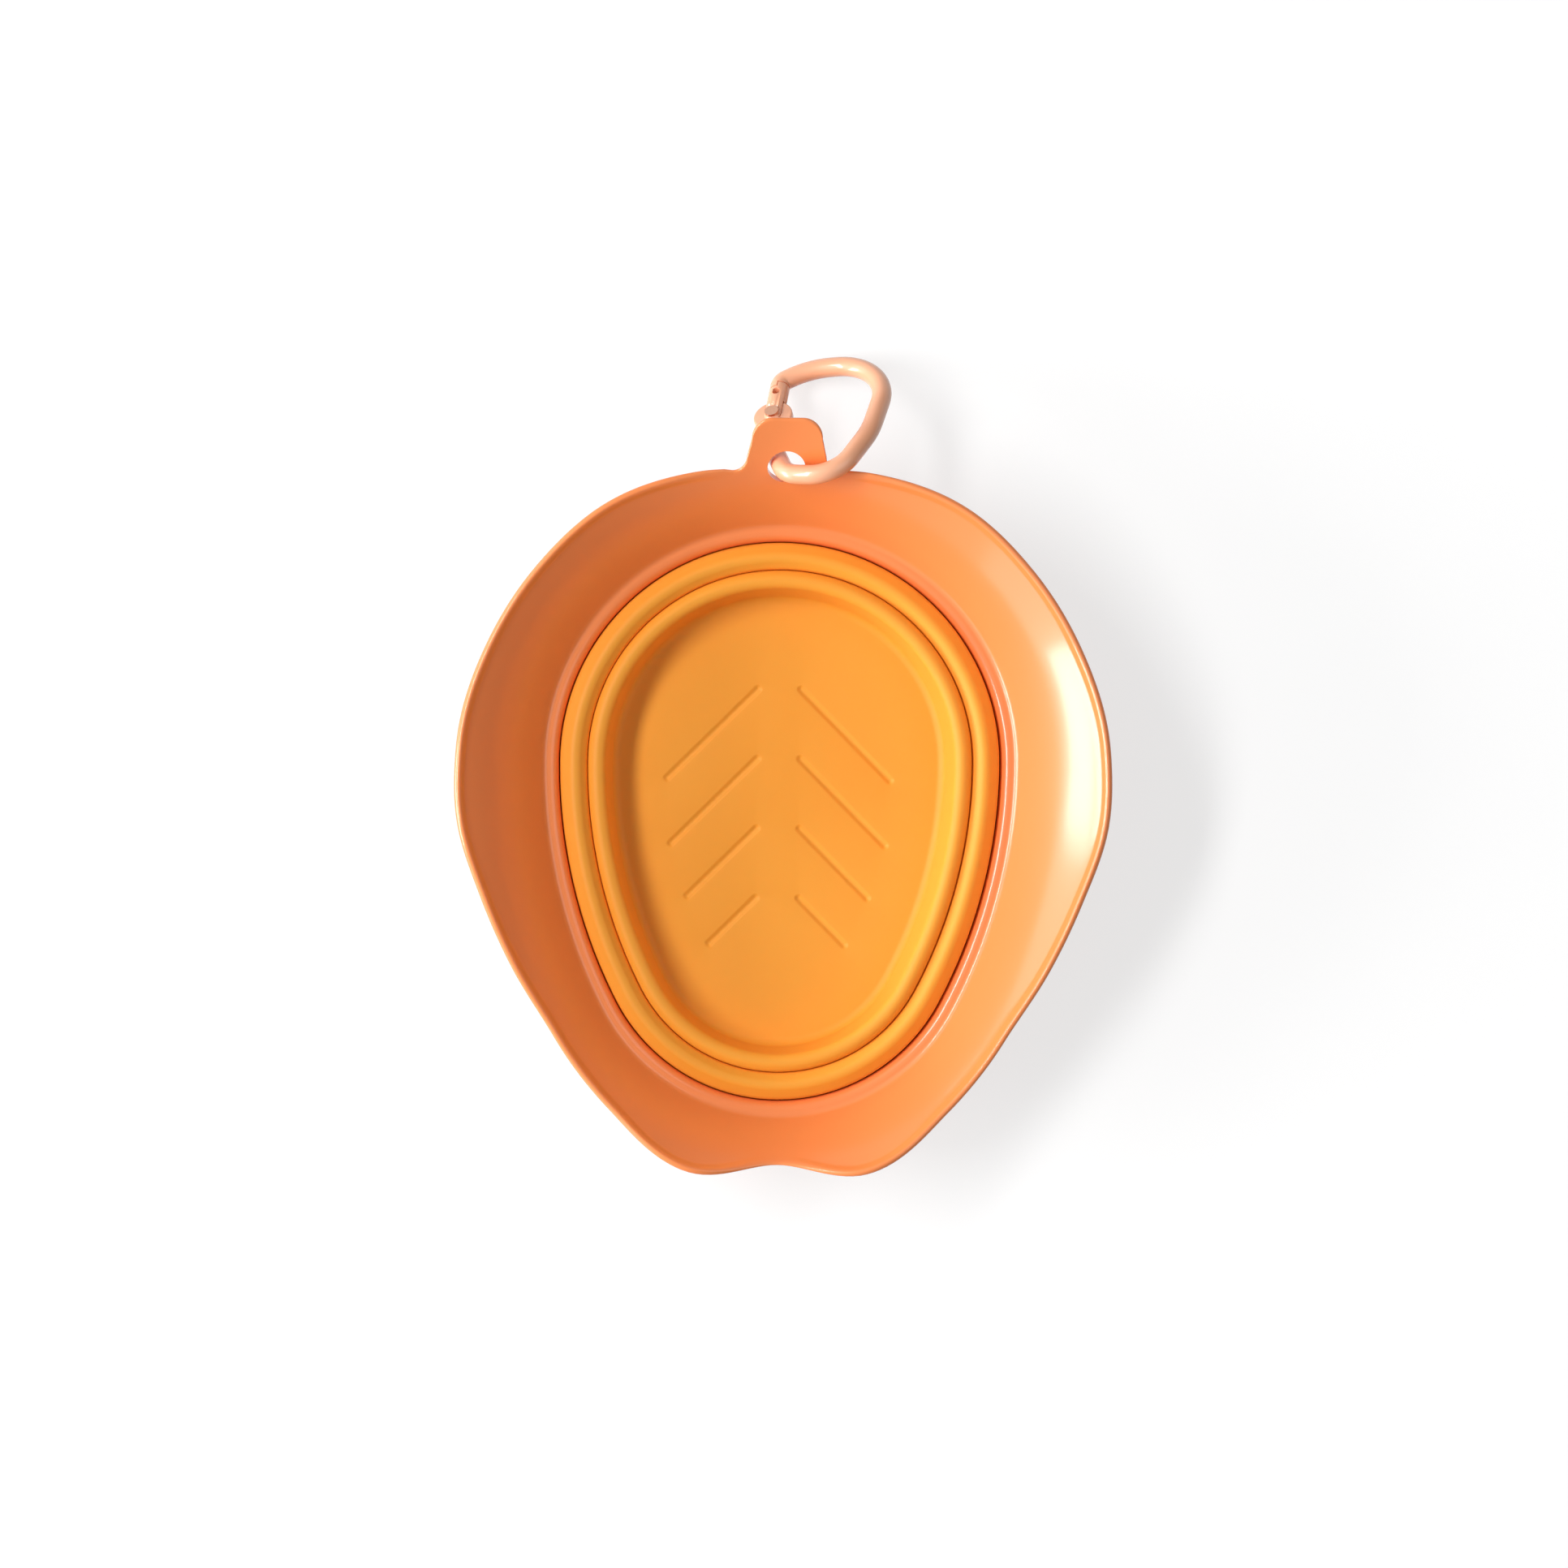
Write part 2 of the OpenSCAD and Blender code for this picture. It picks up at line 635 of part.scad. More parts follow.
// Window through the gate that lightens it
window_w_share = 0.36;
window_l_share = 0.2;
window_w = wire_d * window_w_share;
window_l = gate_l * window_l_share;
window_at = (eye_d / 2 + gate_gap + gate_l - lap_l) / 2;

module gate() {
    color(pale_coral)
    at_ring() at_gate() difference() {
        union() {
            rotate([0, quarter, 0]) cylinder(h = gate_l - tip_gap, d = wire_d);
            sphere(d = wire_d);
        }
        cylinder(h = eye_t + 2 * gate_gap, r = eye_d / 2 + gate_gap, center = true);
        cylinder(h = wire_d + overrun, r = pin_d / 2 + pin_gap, center = true);
        for (m = [0, 1])
            mirror([0, 0, m]) translate([0, 0, head_seat]) cylinder(h = wire_d, r = head_d / 2 + gate_gap);
        translate([gate_l - lap_l - tip_gap, -gate_gap / 2, -wire_d]) cube([2 * lap_l, wire_d, 2 * wire_d]);
        for (x = [-1, 1])
            translate([window_at + x * (window_l - window_w) / 2, 0, -wire_d])
                cylinder(h = 2 * wire_d, d = window_w);
        translate([window_at - (window_l - window_w) / 2, -window_w / 2, -wire_d])
            cube([window_l - window_w, window_w, 2 * wire_d]);
    }
}

collar();
bowl_flange();
fold_band_outer();
fold_ring();
fold_band_inner();
bowl_base();
carabiner_body();
hinge_rivet();
gate_spring();
gate();
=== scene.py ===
# %% [markdown]
# # A folding travel bowl, dressed in Blender
#
# The real object is a hard, glossy collar with a soft bowl moulded into it. The soft bowl folds
# flat like a concertina, and a snap ring hangs in the collar's tab. The construction model fixes
# every size and joint. This file gives each piece its looks: smoother surfaces, soft edges,
# floor grooves and finishes. Everything is in metres, in the construction model's frame.

# %% Load the frame
import math

import bmesh
import bpy
import numpy as np
from mathutils import Matrix, Vector


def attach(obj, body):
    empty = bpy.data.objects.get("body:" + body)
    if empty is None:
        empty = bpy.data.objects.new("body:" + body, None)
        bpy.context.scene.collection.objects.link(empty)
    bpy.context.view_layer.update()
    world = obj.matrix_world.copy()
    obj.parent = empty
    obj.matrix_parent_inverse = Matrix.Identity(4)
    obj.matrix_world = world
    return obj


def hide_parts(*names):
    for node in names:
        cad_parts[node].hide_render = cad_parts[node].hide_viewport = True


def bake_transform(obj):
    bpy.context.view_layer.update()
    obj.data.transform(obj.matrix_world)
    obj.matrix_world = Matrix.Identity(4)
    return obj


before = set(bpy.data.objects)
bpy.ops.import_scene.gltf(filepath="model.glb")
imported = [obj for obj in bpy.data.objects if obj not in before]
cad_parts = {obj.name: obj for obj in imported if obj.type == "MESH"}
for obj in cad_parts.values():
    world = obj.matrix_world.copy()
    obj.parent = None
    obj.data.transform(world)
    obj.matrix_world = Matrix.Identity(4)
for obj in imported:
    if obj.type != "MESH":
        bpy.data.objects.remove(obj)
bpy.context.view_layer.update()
MM = 0.001
print("nodes:", sorted(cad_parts))

# %% [markdown]
# ## Turning points into pieces
#
# Most pieces here follow a rule, so their points are worked out as numbers and handed to Blender
# in one go. A grid of points becomes a skin of four-sided faces. Closing it in both directions
# gives a tube without holes, which is what an export and a physics program want. Faces are
# shaded smooth, and only edges that turn sharply stay crisp.

# %% Mesh helpers
WELD = 2e-6  # Points nearer than this, in metres, become one


def shade(mesh, sharp_deg):
    mesh.polygons.foreach_set("use_smooth", [True] * len(mesh.polygons))
    mesh.set_sharp_from_angle(angle=math.radians(sharp_deg))
    mesh.update()


def piece(name, points, faces, sharp_deg=40, weld=0.0):
    mesh = bpy.data.meshes.new(name)
    mesh.from_pydata([tuple(p) for p in points], [], faces)
    work = bmesh.new()
    work.from_mesh(mesh)
    if weld:
        bmesh.ops.remove_doubles(work, verts=work.verts, dist=weld)
    bmesh.ops.recalc_face_normals(work, faces=work.faces)
    work.to_mesh(mesh)
    work.free()
    shade(mesh, sharp_deg)
    obj = bpy.data.objects.new(name, mesh)
    bpy.context.scene.collection.objects.link(obj)
    return obj


def grid_faces(rows, columns, wrap_rows=True, wrap_columns=True):
    faces = []
    for i in range(rows if wrap_rows else rows - 1):
        for j in range(columns if wrap_columns else columns - 1):
            k, m = (i + 1) % rows, (j + 1) % columns
            faces.append((i * columns + j, k * columns + j, k * columns + m, i * columns + m))
    return faces


def open_edges(obj):
    work = bmesh.new()
    work.from_mesh(obj.data)
    count = sum(1 for e in work.edges if not e.is_manifold)
    work.free()
    return count


def report(obj):
    triangles = sum(len(p.vertices) - 2 for p in obj.data.polygons)
    print(f"{obj.name}: {triangles} triangles, {open_edges(obj)} open edges")


print("welding within", WELD, "m")

# %% [markdown]
# ## The egg outline
#
# Seen from above, the soft bowl is an egg: one round head under the tab, two long sides of large
# radius, and a smaller round tail at the pouring notch. Three arcs that share their tangents give
# it exactly. A point is named by the direction in which the outline faces there, in degrees, and
# by how far out from the outline it lies.

# %% The egg outline
BOWL_W, BOWL_L, SIDE_R = 93.6, 118.5, 110.0
HEAD_R = BOWL_W / 2
HEAD_Y = BOWL_L / 2 - HEAD_R
SIDE_X = SIDE_R - HEAD_R
REACH = HEAD_Y + BOWL_L / 2
TAIL_R = (SIDE_R**2 - SIDE_X**2 - REACH**2) / (2 * (SIDE_R - REACH))
TAIL_Y = TAIL_R - BOWL_L / 2
SIDE_TURN = math.degrees(math.atan2(HEAD_Y - TAIL_Y, SIDE_X))


def egg(turn, out):
    """Point of the egg at a facing direction from -90 to 270 degrees, a distance out from it."""
    left = turn > 90
    t = 180 - turn if left else turn
    c, s = math.cos(math.radians(t)), math.sin(math.radians(t))
    if t >= 0:
        x, y = (HEAD_R + out) * c, HEAD_Y + (HEAD_R + out) * s
    elif t >= -SIDE_TURN:
        x, y = (SIDE_R + out) * c - SIDE_X, HEAD_Y + (SIDE_R + out) * s
    else:
        x, y = (TAIL_R + out) * c, TAIL_Y + (TAIL_R + out) * s
    return (-x if left else x, y)


def steps(start, end, size):
    n = max(1, round((end - start) / size))
    return [start + (end - start) * i / n for i in range(n)]


def stations(sizes, head_end=90):
    """Facing directions along the right half of the egg, by the steps on tail, side and head."""
    tail, side, head = sizes
    return steps(-90, -SIDE_TURN, tail) + steps(-SIDE_TURN, 0, side) + steps(0, head_end, head)


BOWL_STEPS = (2.2, 1.1, 2.0)  # Degrees
half_round = stations(BOWL_STEPS)
all_round = half_round + [90.0] + [180 - t for t in reversed(half_round[1:])]
print("egg:", round(TAIL_R, 2), "mm tail,", len(all_round), "stations")

# %% [markdown]
# ## The folding wall
#
# The wall is an even skin 1.5 mm thick that goes up from the collar, over a ridge like a roof,
# down into a narrow valley and over a second ridge to the floor. When the bowl opens, the two
# stretches between these folds turn inside out. So the wall is made in stretches that meet
# exactly at the middle of each fold: some ride on one body, and the two bands lie between them,
# across the folds. A section is drawn as arcs, with x as minus the depth in from the
# egg, and is then carried once round the egg.

# %% Sizes of the folds
WALL_T, SOFT_GAP, PLUMP = 1.5, 0.3, 0.1
CREST_Z, CREST_R, SHOULDER_R, VALLEY_R, VALLEY_Z = 12.0, 1.0, 1.0, 0.9, 2.0
RIDGE_W, CREST_SHARE, INNER_RISE, SLOPE, WALL_TURN = 4.05, 0.55, 1.2, 40.0, 78.0
BEAD_Z, BEAD_D, BEAD_H, BEAD_GAP = 3.0, 0.75, 1.8, 0.05
outer_leg = SOFT_GAP + WALL_T / 2
crest_1 = outer_leg + RIDGE_W * CREST_SHARE
mid_leg = outer_leg + RIDGE_W
valley = mid_leg + VALLEY_R
inner_leg = valley + VALLEY_R
crest_2 = inner_leg + INNER_RISE
crest_mid = CREST_Z - WALL_T / 2 - CREST_R
valley_mid = VALLEY_Z + WALL_T / 2 + VALLEY_R
slope_end = 90 - SLOPE  # Where a bend meets its slope, in degrees
print("ridges", round(crest_1, 2), "and", round(crest_2, 2), "mm in, valley", round(valley, 2))


def arc(x, z, r, start, end, n=12):
    angles = [math.radians(start + (end - start) * i / n) for i in range(n + 1)]
    return [(x + r * math.cos(a), z + r * math.sin(a)) for a in angles]


def legs(points, size=1.0):
    """The same line with its long straight stretches cut shorter, so that it can bend."""
    line = [points[0]]
    for a, b in zip(points, points[1:]):
        n = max(1, math.ceil(math.dist(a, b) / size))
        line += [
            (a[0] + (b[0] - a[0]) * i / n, a[1] + (b[1] - a[1]) * i / n) for i in range(1, n + 1)
        ]
    return line


def shoulder_z(run):
    """Height of the bend's centre at the foot of a slope that runs in to a ridge."""
    tilt = math.radians(SLOPE)
    flat = run - CREST_R * math.sin(tilt) - SHOULDER_R * (1 - math.sin(tilt))
    return crest_mid + (CREST_R - SHOULDER_R) * math.cos(tilt) - flat * math.tan(tilt)


def wall_section(arcs, start=None, top=1):
    """Closed section along arcs (x, z, radius, from, to, side of the outer face).

    Its upper face, on the side that top names, is plumper than the construction model's.
    """
    sides = []
    for side in (WALL_T / 2 + PLUMP * (top > 0), -WALL_T / 2 - PLUMP * (top < 0)):
        line = [(start[0] + side, start[1])] if start else []
        line += [p for x, z, r, a, b, way in arcs for p in arc(x, z, r + way * side, a, b)]
        sides.append(legs(line))
    return sides[0] + sides[1][::-1]


def sweep(name, section, sharp_deg=50):
    points = [(*egg(t, x), z) for t in all_round for x, z in section]
    faces = grid_faces(len(all_round), len(section))
    return piece(name, np.array(points) * MM, faces, sharp_deg)


# %% Stretches of the folding wall
outer_band = sweep(
    "outer_band",
    wall_section([
        (-outer_leg - SHOULDER_R, shoulder_z(crest_1 - outer_leg), SHOULDER_R, 0, slope_end, 1),
        (-crest_1, crest_mid, CREST_R, slope_end, 90, 1),
    ], start=(-outer_leg, BEAD_Z)),
)
middle_ring = sweep(
    "middle_ring",
    wall_section([
        (-crest_1, crest_mid, CREST_R, 90, 90 + SLOPE, 1),
        (SHOULDER_R - mid_leg, shoulder_z(mid_leg - crest_1), SHOULDER_R, 90 + SLOPE, 180, 1),
        (-valley, valley_mid, VALLEY_R, 360, 270, -1),
    ]),
)
inner_band = sweep(
    "inner_band",
    wall_section([
        (-valley, valley_mid, VALLEY_R, 270, 180, 1),
        (-inner_leg - SHOULDER_R, shoulder_z(INNER_RISE), SHOULDER_R, 0, slope_end, -1),
        (-crest_2, crest_mid, CREST_R, slope_end, 90, -1),
    ], top=-1),
)
for obj in (outer_band, middle_ring, inner_band):
    report(obj)

# %% [markdown]
# ## The floor and its grooves
#
# The innermost wall runs down to a thicker floor. Its foot is rounded outside, and a fillet runs
# into the floor inside. Eight shallow grooves in four pairs are pressed into the floor. They
# repeat by a rule, so Geometry Nodes make them: each groove starts as one flat grid whose points
# are then moved into a rounded trough. The trough outlines also cut their own windows in the flat
# floor, so the troughs and the floor join without a gap and without any boolean.

# %% Sizes of the floor
FLOOR_T, FLOOR_FILLET, FLOOR_RING, FOOT_ROUND = 2.6, 2.0, 0.4, 1.4
GROOVE_IN, GROOVE_Y, GROOVE_PITCH, GROOVE_TURN = 4.6, 28.0, 14.8, 45.0
GROOVE_L, GROOVE_W, GROOVE_D = 27.0, 2.2, 0.45
GROOVE_SHARES = (1.0, 0.95, 0.76, 0.51)  # Of the longest, from the tab to the notch
lean = math.radians(90 - WALL_TURN)


def below_ridge(face_r, z, r):
    """Depth of a bend's centre below the wall, whose face leaves the ridge at radius face_r."""
    drop = crest_mid - z + (face_r + r) * math.sin(lean)
    return crest_2 + (face_r + r) * math.cos(lean) + drop * math.tan(lean)


fillet_at = below_ridge(CREST_R + WALL_T / 2 + PLUMP, FLOOR_T + FLOOR_FILLET, FLOOR_FILLET)
foot_at = below_ridge(CREST_R - WALL_T / 2, FOOT_ROUND, FOOT_ROUND)
floor_in = fillet_at + FLOOR_RING
print("floor starts", round(fillet_at, 2), "mm in from the egg")


# %% A writer of Geometry Nodes
def input_of(node, key):
    """A node's input by its name, or by its number where the key reads i0, i1 and so on."""
    return node.inputs[int(key[1:]) if key[0] == "i" and key[1:].isdigit() else key]


class Tree:
    """A Geometry Nodes tree that is written as calls: every call adds one node."""

    def __init__(self, name):
        self.tree = bpy.data.node_groups.new(name, "GeometryNodeTree")
        self.source = None

    def input(self, name, kind):
        socket = self.tree.interface.new_socket(name, in_out="INPUT", socket_type=kind)
        self.source = self.source or self.tree.nodes.new("NodeGroupInput")
        return self.source.outputs[socket.identifier]

    def node(self, kind, settings=None, out=0, **sockets):
        node = self.tree.nodes.new(kind)
        for key, value in (settings or {}).items():
            setattr(node, key, value)
        for key, value in sockets.items():
            place = input_of(node, key)
            for one in value if isinstance(value, list) else [value]:
                if isinstance(one, bpy.types.NodeSocket):
                    self.tree.links.new(one, place)
                else:
                    place.default_value = one
        return node.outputs[out]

    def math(self, operation, a, b=0.0, c=0.0):
        return self.node("ShaderNodeMath", {"operation": operation}, i0=a, i1=b, i2=c)

    def vector(self, x=0.0, y=0.0, z=0.0):
        return self.node("ShaderNodeCombineXYZ", i0=x, i1=y, i2=z)

    def keep(self, geometry, name, value, kind="FLOAT"):
        return self.node(
            "GeometryNodeStoreNamedAttribute",
            {"data_type": kind, "domain": "POINT"},
            Geometry=geometry, Name=name, Value=value,
        )

    def recall(self, name, kind="FLOAT"):
        return self.node("GeometryNodeInputNamedAttribute", {"data_type": kind}, Name=name)

    def output(self, geometry):
        self.tree.interface.new_socket(
            "Geometry", in_out="OUTPUT", socket_type="NodeSocketGeometry"
        )
        self.tree.links.new(geometry, self.tree.nodes.new("NodeGroupOutput").inputs[0])


def bake(obj, tree, values):
    """Runs a tree on an object with the given inputs, and leaves the result as its plain mesh."""
    modifier = obj.modifiers.new("rule", "NODES")
    modifier.node_group = tree
    for item in tree.interface.items_tree:
        if item.item_type == "SOCKET" and item.in_out == "INPUT" and item.name in values:
            modifier[item.identifier] = values[item.name]
    bpy.context.view_layer.update()
    result = obj.evaluated_get(bpy.context.evaluated_depsgraph_get())
    mesh = bpy.data.meshes.new_from_object(result)
    obj.modifiers.remove(modifier)
    return mesh


# %% The groove tree
AROUND, ACROSS = 49, 9  # Points round a trough's outline, and from there to its bottom
GROOVE_WELD, OUTLINE_SHARE = 1e-6, 0.01


def groove_tree():
    t = Tree("floor with grooves")
    outline = t.input("Geometry", "NodeSocketGeometry")
    inner, first, pitch, longest, width, depth, level = (
        t.input(name, "NodeSocketFloat")
        for name in ("Inner End", "First Pair", "Pitch", "Longest", "Width", "Depth", "Level")
    )
    finish = t.input("Finish", "NodeSocketMaterial")
    # One point a groove, which carries the groove's place, turn and length
    points = t.node("GeometryNodePoints", Count=2 * len(GROOVE_SHARES))
    index = t.node("GeometryNodeInputIndex")
    pair = t.math("FLOOR", t.math("DIVIDE", index, 2.0))
    side = t.math("SUBTRACT", t.math("MULTIPLY", t.math("MODULO", index, 2.0), 2.0), 1.0)
    share = t.node("GeometryNodeIndexSwitch", {"data_type": "FLOAT"})
    switch = share.node
    while len(switch.index_switch_items) < len(GROOVE_SHARES):
        switch.index_switch_items.new()
    t.tree.links.new(pair, switch.inputs["Index"])
    for i, value in enumerate(GROOVE_SHARES):
        switch.inputs[i + 1].default_value = value
    row = t.math("MULTIPLY_ADD", t.math("MULTIPLY", pitch, -1.0), pair, first)
    at = t.vector(t.math("MULTIPLY", inner, side), row)
    turn = t.math("MULTIPLY_ADD", side, math.radians(GROOVE_TURN), math.radians(270))
    points = t.keep(points, "at", at, kind="FLOAT_VECTOR")
    points = t.keep(points, "turn", turn)
    points = t.keep(points, "long", t.math("MULTIPLY", longest, share))
    # One flat grid a point, realised, and then moved into a trough by its two grid numbers
    sheet = t.node("GeometryNodeMeshGrid", **{"Vertices X": AROUND, "Vertices Y": ACROSS})
    across = t.node("ShaderNodeSeparateXYZ", i0=t.node("GeometryNodeInputPosition"))
    sheet = t.keep(sheet, "round", t.math("ADD", across, 0.5))
    sheet = t.keep(sheet, "inward", t.math("ADD", across.node.outputs["Y"], 0.5))
    spots = t.node("GeometryNodeInstanceOnPoints", Points=points, Instance=sheet)
    troughs = t.node("GeometryNodeRealizeInstances", Geometry=spots)
    half_step = math.pi / (AROUND - 1)
    angle = t.math("MULTIPLY_ADD", t.recall("round"), 2 * math.pi, half_step)
    along, inward = t.math("COSINE", angle), t.recall("inward")
    reach = t.math("MULTIPLY", t.math("MULTIPLY", width, 0.5), t.math("SUBTRACT", 1.0, inward))
    far = t.math("MULTIPLY", t.math("GREATER_THAN", along, 0.0), t.recall("long"))
    x = t.math("MULTIPLY_ADD", along, reach, far)
    y = t.math("MULTIPLY", t.math("SINE", angle), reach)
    dip = t.math("POWER", t.math("SINE", t.math("MULTIPLY", inward, math.pi / 2)), 2.0)
    z = t.math("MULTIPLY", t.math("MULTIPLY", dip, depth), -1.0)
    turned = t.node(
        "ShaderNodeVectorRotate", {"rotation_type": "Z_AXIS"},
        Vector=t.vector(x, y, z), Angle=t.recall("turn"),
    )
    placed = t.node(
        "ShaderNodeVectorMath", {"operation": "ADD"},
        i0=turned, i1=t.recall("at", "FLOAT_VECTOR"),
    )
    troughs = t.node("GeometryNodeSetPosition", Geometry=troughs, Position=placed)
    troughs = t.node("GeometryNodeMergeByDistance", Geometry=troughs, Distance=GROOVE_WELD)
    # The troughs' outlines and the egg bound the flat floor
    rim = t.math("LESS_THAN", t.recall("inward"), OUTLINE_SHARE)
    rims = t.node("GeometryNodeMeshToCurve", Mesh=troughs, Selection=rim)
    edge = t.node("GeometryNodeMeshToCurve", Mesh=outline)
    loops = t.node("GeometryNodeJoinGeometry", Geometry=[rims, edge])
    flat = t.node("GeometryNodeFillCurve", Curve=loops)
    whole = t.node("GeometryNodeJoinGeometry", Geometry=[troughs, flat])
    lifted = t.node("GeometryNodeSetPosition", Geometry=whole, Offset=t.vector(z=level))
    real = t.node("GeometryNodeRealizeInstances", Geometry=lifted)
    t.output(t.node("GeometryNodeSetMaterial", Geometry=real, Material=finish))
    return t.tree


print("grooves:", 2 * len(GROOVE_SHARES), "of up to", GROOVE_L, "mm")

# %% [markdown]
# ## Finishes
#
# A material is a small program. To keep it readable, one class stands for a number that changes
# over the surface: adding or multiplying such values adds the Math nodes by itself. One method
# adds any other node. Nothing here looks at the camera, so the finishes stay the same from
# every side.

# %% The material writer
class Value:
    """A node's output that can be used in sums, as in 1 - mask * 0.5."""

    def __init__(self, finish, socket):
        self.finish, self.socket = finish, socket

    def _math(self, operation, a, b):
        return self.finish.node("ShaderNodeMath", {"operation": operation}, i0=a, i1=b)

    def __add__(self, other):
        return self._math("ADD", self, other)

    def __radd__(self, other):
        return self._math("ADD", other, self)

    def __sub__(self, other):
        return self._math("SUBTRACT", self, other)

    def __rsub__(self, other):
        return self._math("SUBTRACT", other, self)

    def __mul__(self, other):
        return self._math("MULTIPLY", self, other)

    def __rmul__(self, other):
        return self._math("MULTIPLY", other, self)


class Finish:
    """A material whose nodes are added by one method."""

    def __init__(self, name):
        self.material = bpy.data.materials.new(name)
        self.material.use_nodes = True
        self.nodes, self.links = self.material.node_tree.nodes, self.material.node_tree.links
        self.skin = self.nodes["Principled BSDF"]
        self.place = self.node("ShaderNodeTexCoord", out="Object")

    def node(self, kind, settings=None, out=0, **sockets):
        node = self.nodes.new(kind)
        for key, value in (settings or {}).items():
            setattr(node, key, value)
        for key, value in sockets.items():
            self.put(input_of(node, key), value)
        return Value(self, node.outputs[out])

    def put(self, socket, value):
        if isinstance(value, Value):
            self.links.new(value.socket, socket)
        else:
            socket.default_value = value

    def noise(self, scale, detail=2.0, rough=0.5):
        return self.node(
            "ShaderNodeTexNoise", Vector=self.place, Scale=scale, Detail=detail, Roughness=rough
        )

    def mix(self, factor, a, b):
        return self.node("ShaderNodeMix", {"data_type": "RGBA"}, out=2, i0=factor, i6=a, i7=b)

    def bump(self, height, strength, distance):
        return self.node("ShaderNodeBump", Height=height, Strength=strength, Distance=distance)

    def set(self, **sockets):
        for key, value in sockets.items():
            self.put(self.skin.inputs[key.replace("_", " ")], value)


def rgb(r, g, b):
    """The linear light that nodes use, for a colour as a screen shows it, from 0 to 255."""
    def linear(c):
        c /= 255
        return c / 12.92 if c <= 0.04045 else ((c + 0.055) / 1.055) ** 2.4
    return (linear(r), linear(g), linear(b), 1.0)


# %% [markdown]
# The collar is a glossy injection-moulded plastic. Its colour is nearly even, with a slight
# cloudiness that runs with the flow of the plastic, and its gloss is broken a little by fine
# ripples. A duller coat over the gloss spreads a pale sheen round each highlight. The soft bowl
# is an elastomer: the same family of colour, more yellow, with a fine matt grain that spreads its
# highlights, and a little light that passes under its skin. The ring is painted aluminium with
# a clear coat; its colour is paler than the paint, and that paleness is a painted sheen. Its rivet
# and spring are plain metal that mirrors the colours round it, and the warm tint of their colour
# is a painted reflection of the coral.

# %% The finishes
def coral_plastic():
    f = Finish("coral_plastic")
    cloud, ripple, grain = f.noise(14.0, 3.0), f.noise(70.0, 1.0), f.noise(2600.0, 2.0)
    f.set(
        Base_Color=f.mix(cloud, rgb(248, 136, 71), rgb(253, 148, 82)),
        Roughness=0.11 + grain * 0.04 + cloud * 0.04,
        Coat_Weight=0.6,
        Coat_Roughness=0.38,
        Normal=f.bump(ripple * 0.8 + grain * 0.012, 0.25, 0.0004),
    )
    return f.material


def amber_rubber():
    f = Finish("amber_rubber")
    cloud, grain = f.noise(22.0, 3.0), f.noise(3400.0, 3.0, 0.6)
    f.set(
        Base_Color=f.mix(cloud, rgb(249, 159, 48), rgb(253, 171, 60)),
        Roughness=0.5 + grain * 0.12,
        Normal=f.bump(grain, 0.25, 0.00006),
        Specular_IOR_Level=0.35,
        Subsurface_Weight=0.12,
        Subsurface_Radius=(0.0012, 0.0006, 0.0002),
        Subsurface_Scale=1.0,
    )
    return f.material


def ring_paint():
    f = Finish("ring_paint")
    cloud, peel = f.noise(60.0, 2.0), f.noise(900.0, 2.0)
    f.set(
        # Both colours are paler than the coral paint itself: the paleness is a painted sheen
        Base_Color=f.mix(cloud, rgb(248, 170, 128), rgb(253, 188, 150)),
        Roughness=0.3 + peel * 0.08,
        Coat_Weight=0.5 + cloud * 0.2,
        Normal=f.bump(peel, 0.15, 0.00004),
    )
    return f.material


def pin_steel():
    f = Finish("pin_steel")
    wear = f.noise(1500.0, 3.0, 0.7)
    f.set(
        # Both tints are warm: the warmth is a painted reflection of the coral round the metal
        Base_Color=f.mix(wear, rgb(212, 160, 132), rgb(226, 176, 148)),
        Metallic=1.0,
        Roughness=0.24 + wear * 0.16,
        Normal=f.bump(wear, 0.2, 0.00003),
    )
    return f.material


PLASTIC, RUBBER, PAINT, STEEL = coral_plastic(), amber_rubber(), ring_paint(), pin_steel()
print("finishes:", [m.name for m in (PLASTIC, RUBBER, PAINT, STEEL)])

# %% The floor piece
section = (
    [(-floor_in, FLOOR_T)]
    + arc(-fillet_at, FLOOR_T + FLOOR_FILLET, FLOOR_FILLET, -90, WALL_TURN - 90)
    + arc(-crest_2, crest_mid, CREST_R + WALL_T / 2 + PLUMP, 90 + WALL_TURN, 90)
    + arc(-crest_2, crest_mid, CREST_R - WALL_T / 2, 90, 90 + WALL_TURN)
    + arc(-foot_at, FOOT_ROUND, FOOT_ROUND, WALL_TURN - 90, -90)
    + [(-floor_in, 0.0)]
)
rim_points = np.array([(*egg(t, -floor_in), 0.0) for t in all_round]) * MM
n = len(all_round)
loop_mesh = bpy.data.meshes.new("floor_edge")
loop_mesh.from_pydata([tuple(p) for p in rim_points], [(i, (i + 1) % n) for i in range(n)], [])
loop = bpy.data.objects.new("floor_edge", loop_mesh)
bpy.context.scene.collection.objects.link(loop)
floor_mesh = bake(
    loop,
    groove_tree(),
    {
        "Inner End": GROOVE_IN * MM, "First Pair": GROOVE_Y * MM, "Pitch": GROOVE_PITCH * MM,
        "Longest": GROOVE_L * MM, "Width": GROOVE_W * MM, "Depth": GROOVE_D * MM,
        "Level": FLOOR_T * MM, "Finish": RUBBER,
    },
)
bpy.data.objects.remove(loop)
print("grooved floor:", len(floor_mesh.polygons), "faces")

points = [(*egg(t, x), z) for t in all_round for x, z in section]
faces = grid_faces(n, len(section), wrap_columns=False)
faces.append(tuple(i * len(section) + len(section) - 1 for i in range(n)))
points = list(np.array(points) * MM)
first = len(points)
points += [v.co.copy() for v in floor_mesh.vertices]
faces += [tuple(first + v for v in p.vertices) for p in floor_mesh.polygons]
soft_base = piece("soft_base", points, faces, sharp_deg=50, weld=WELD)
report(soft_base)

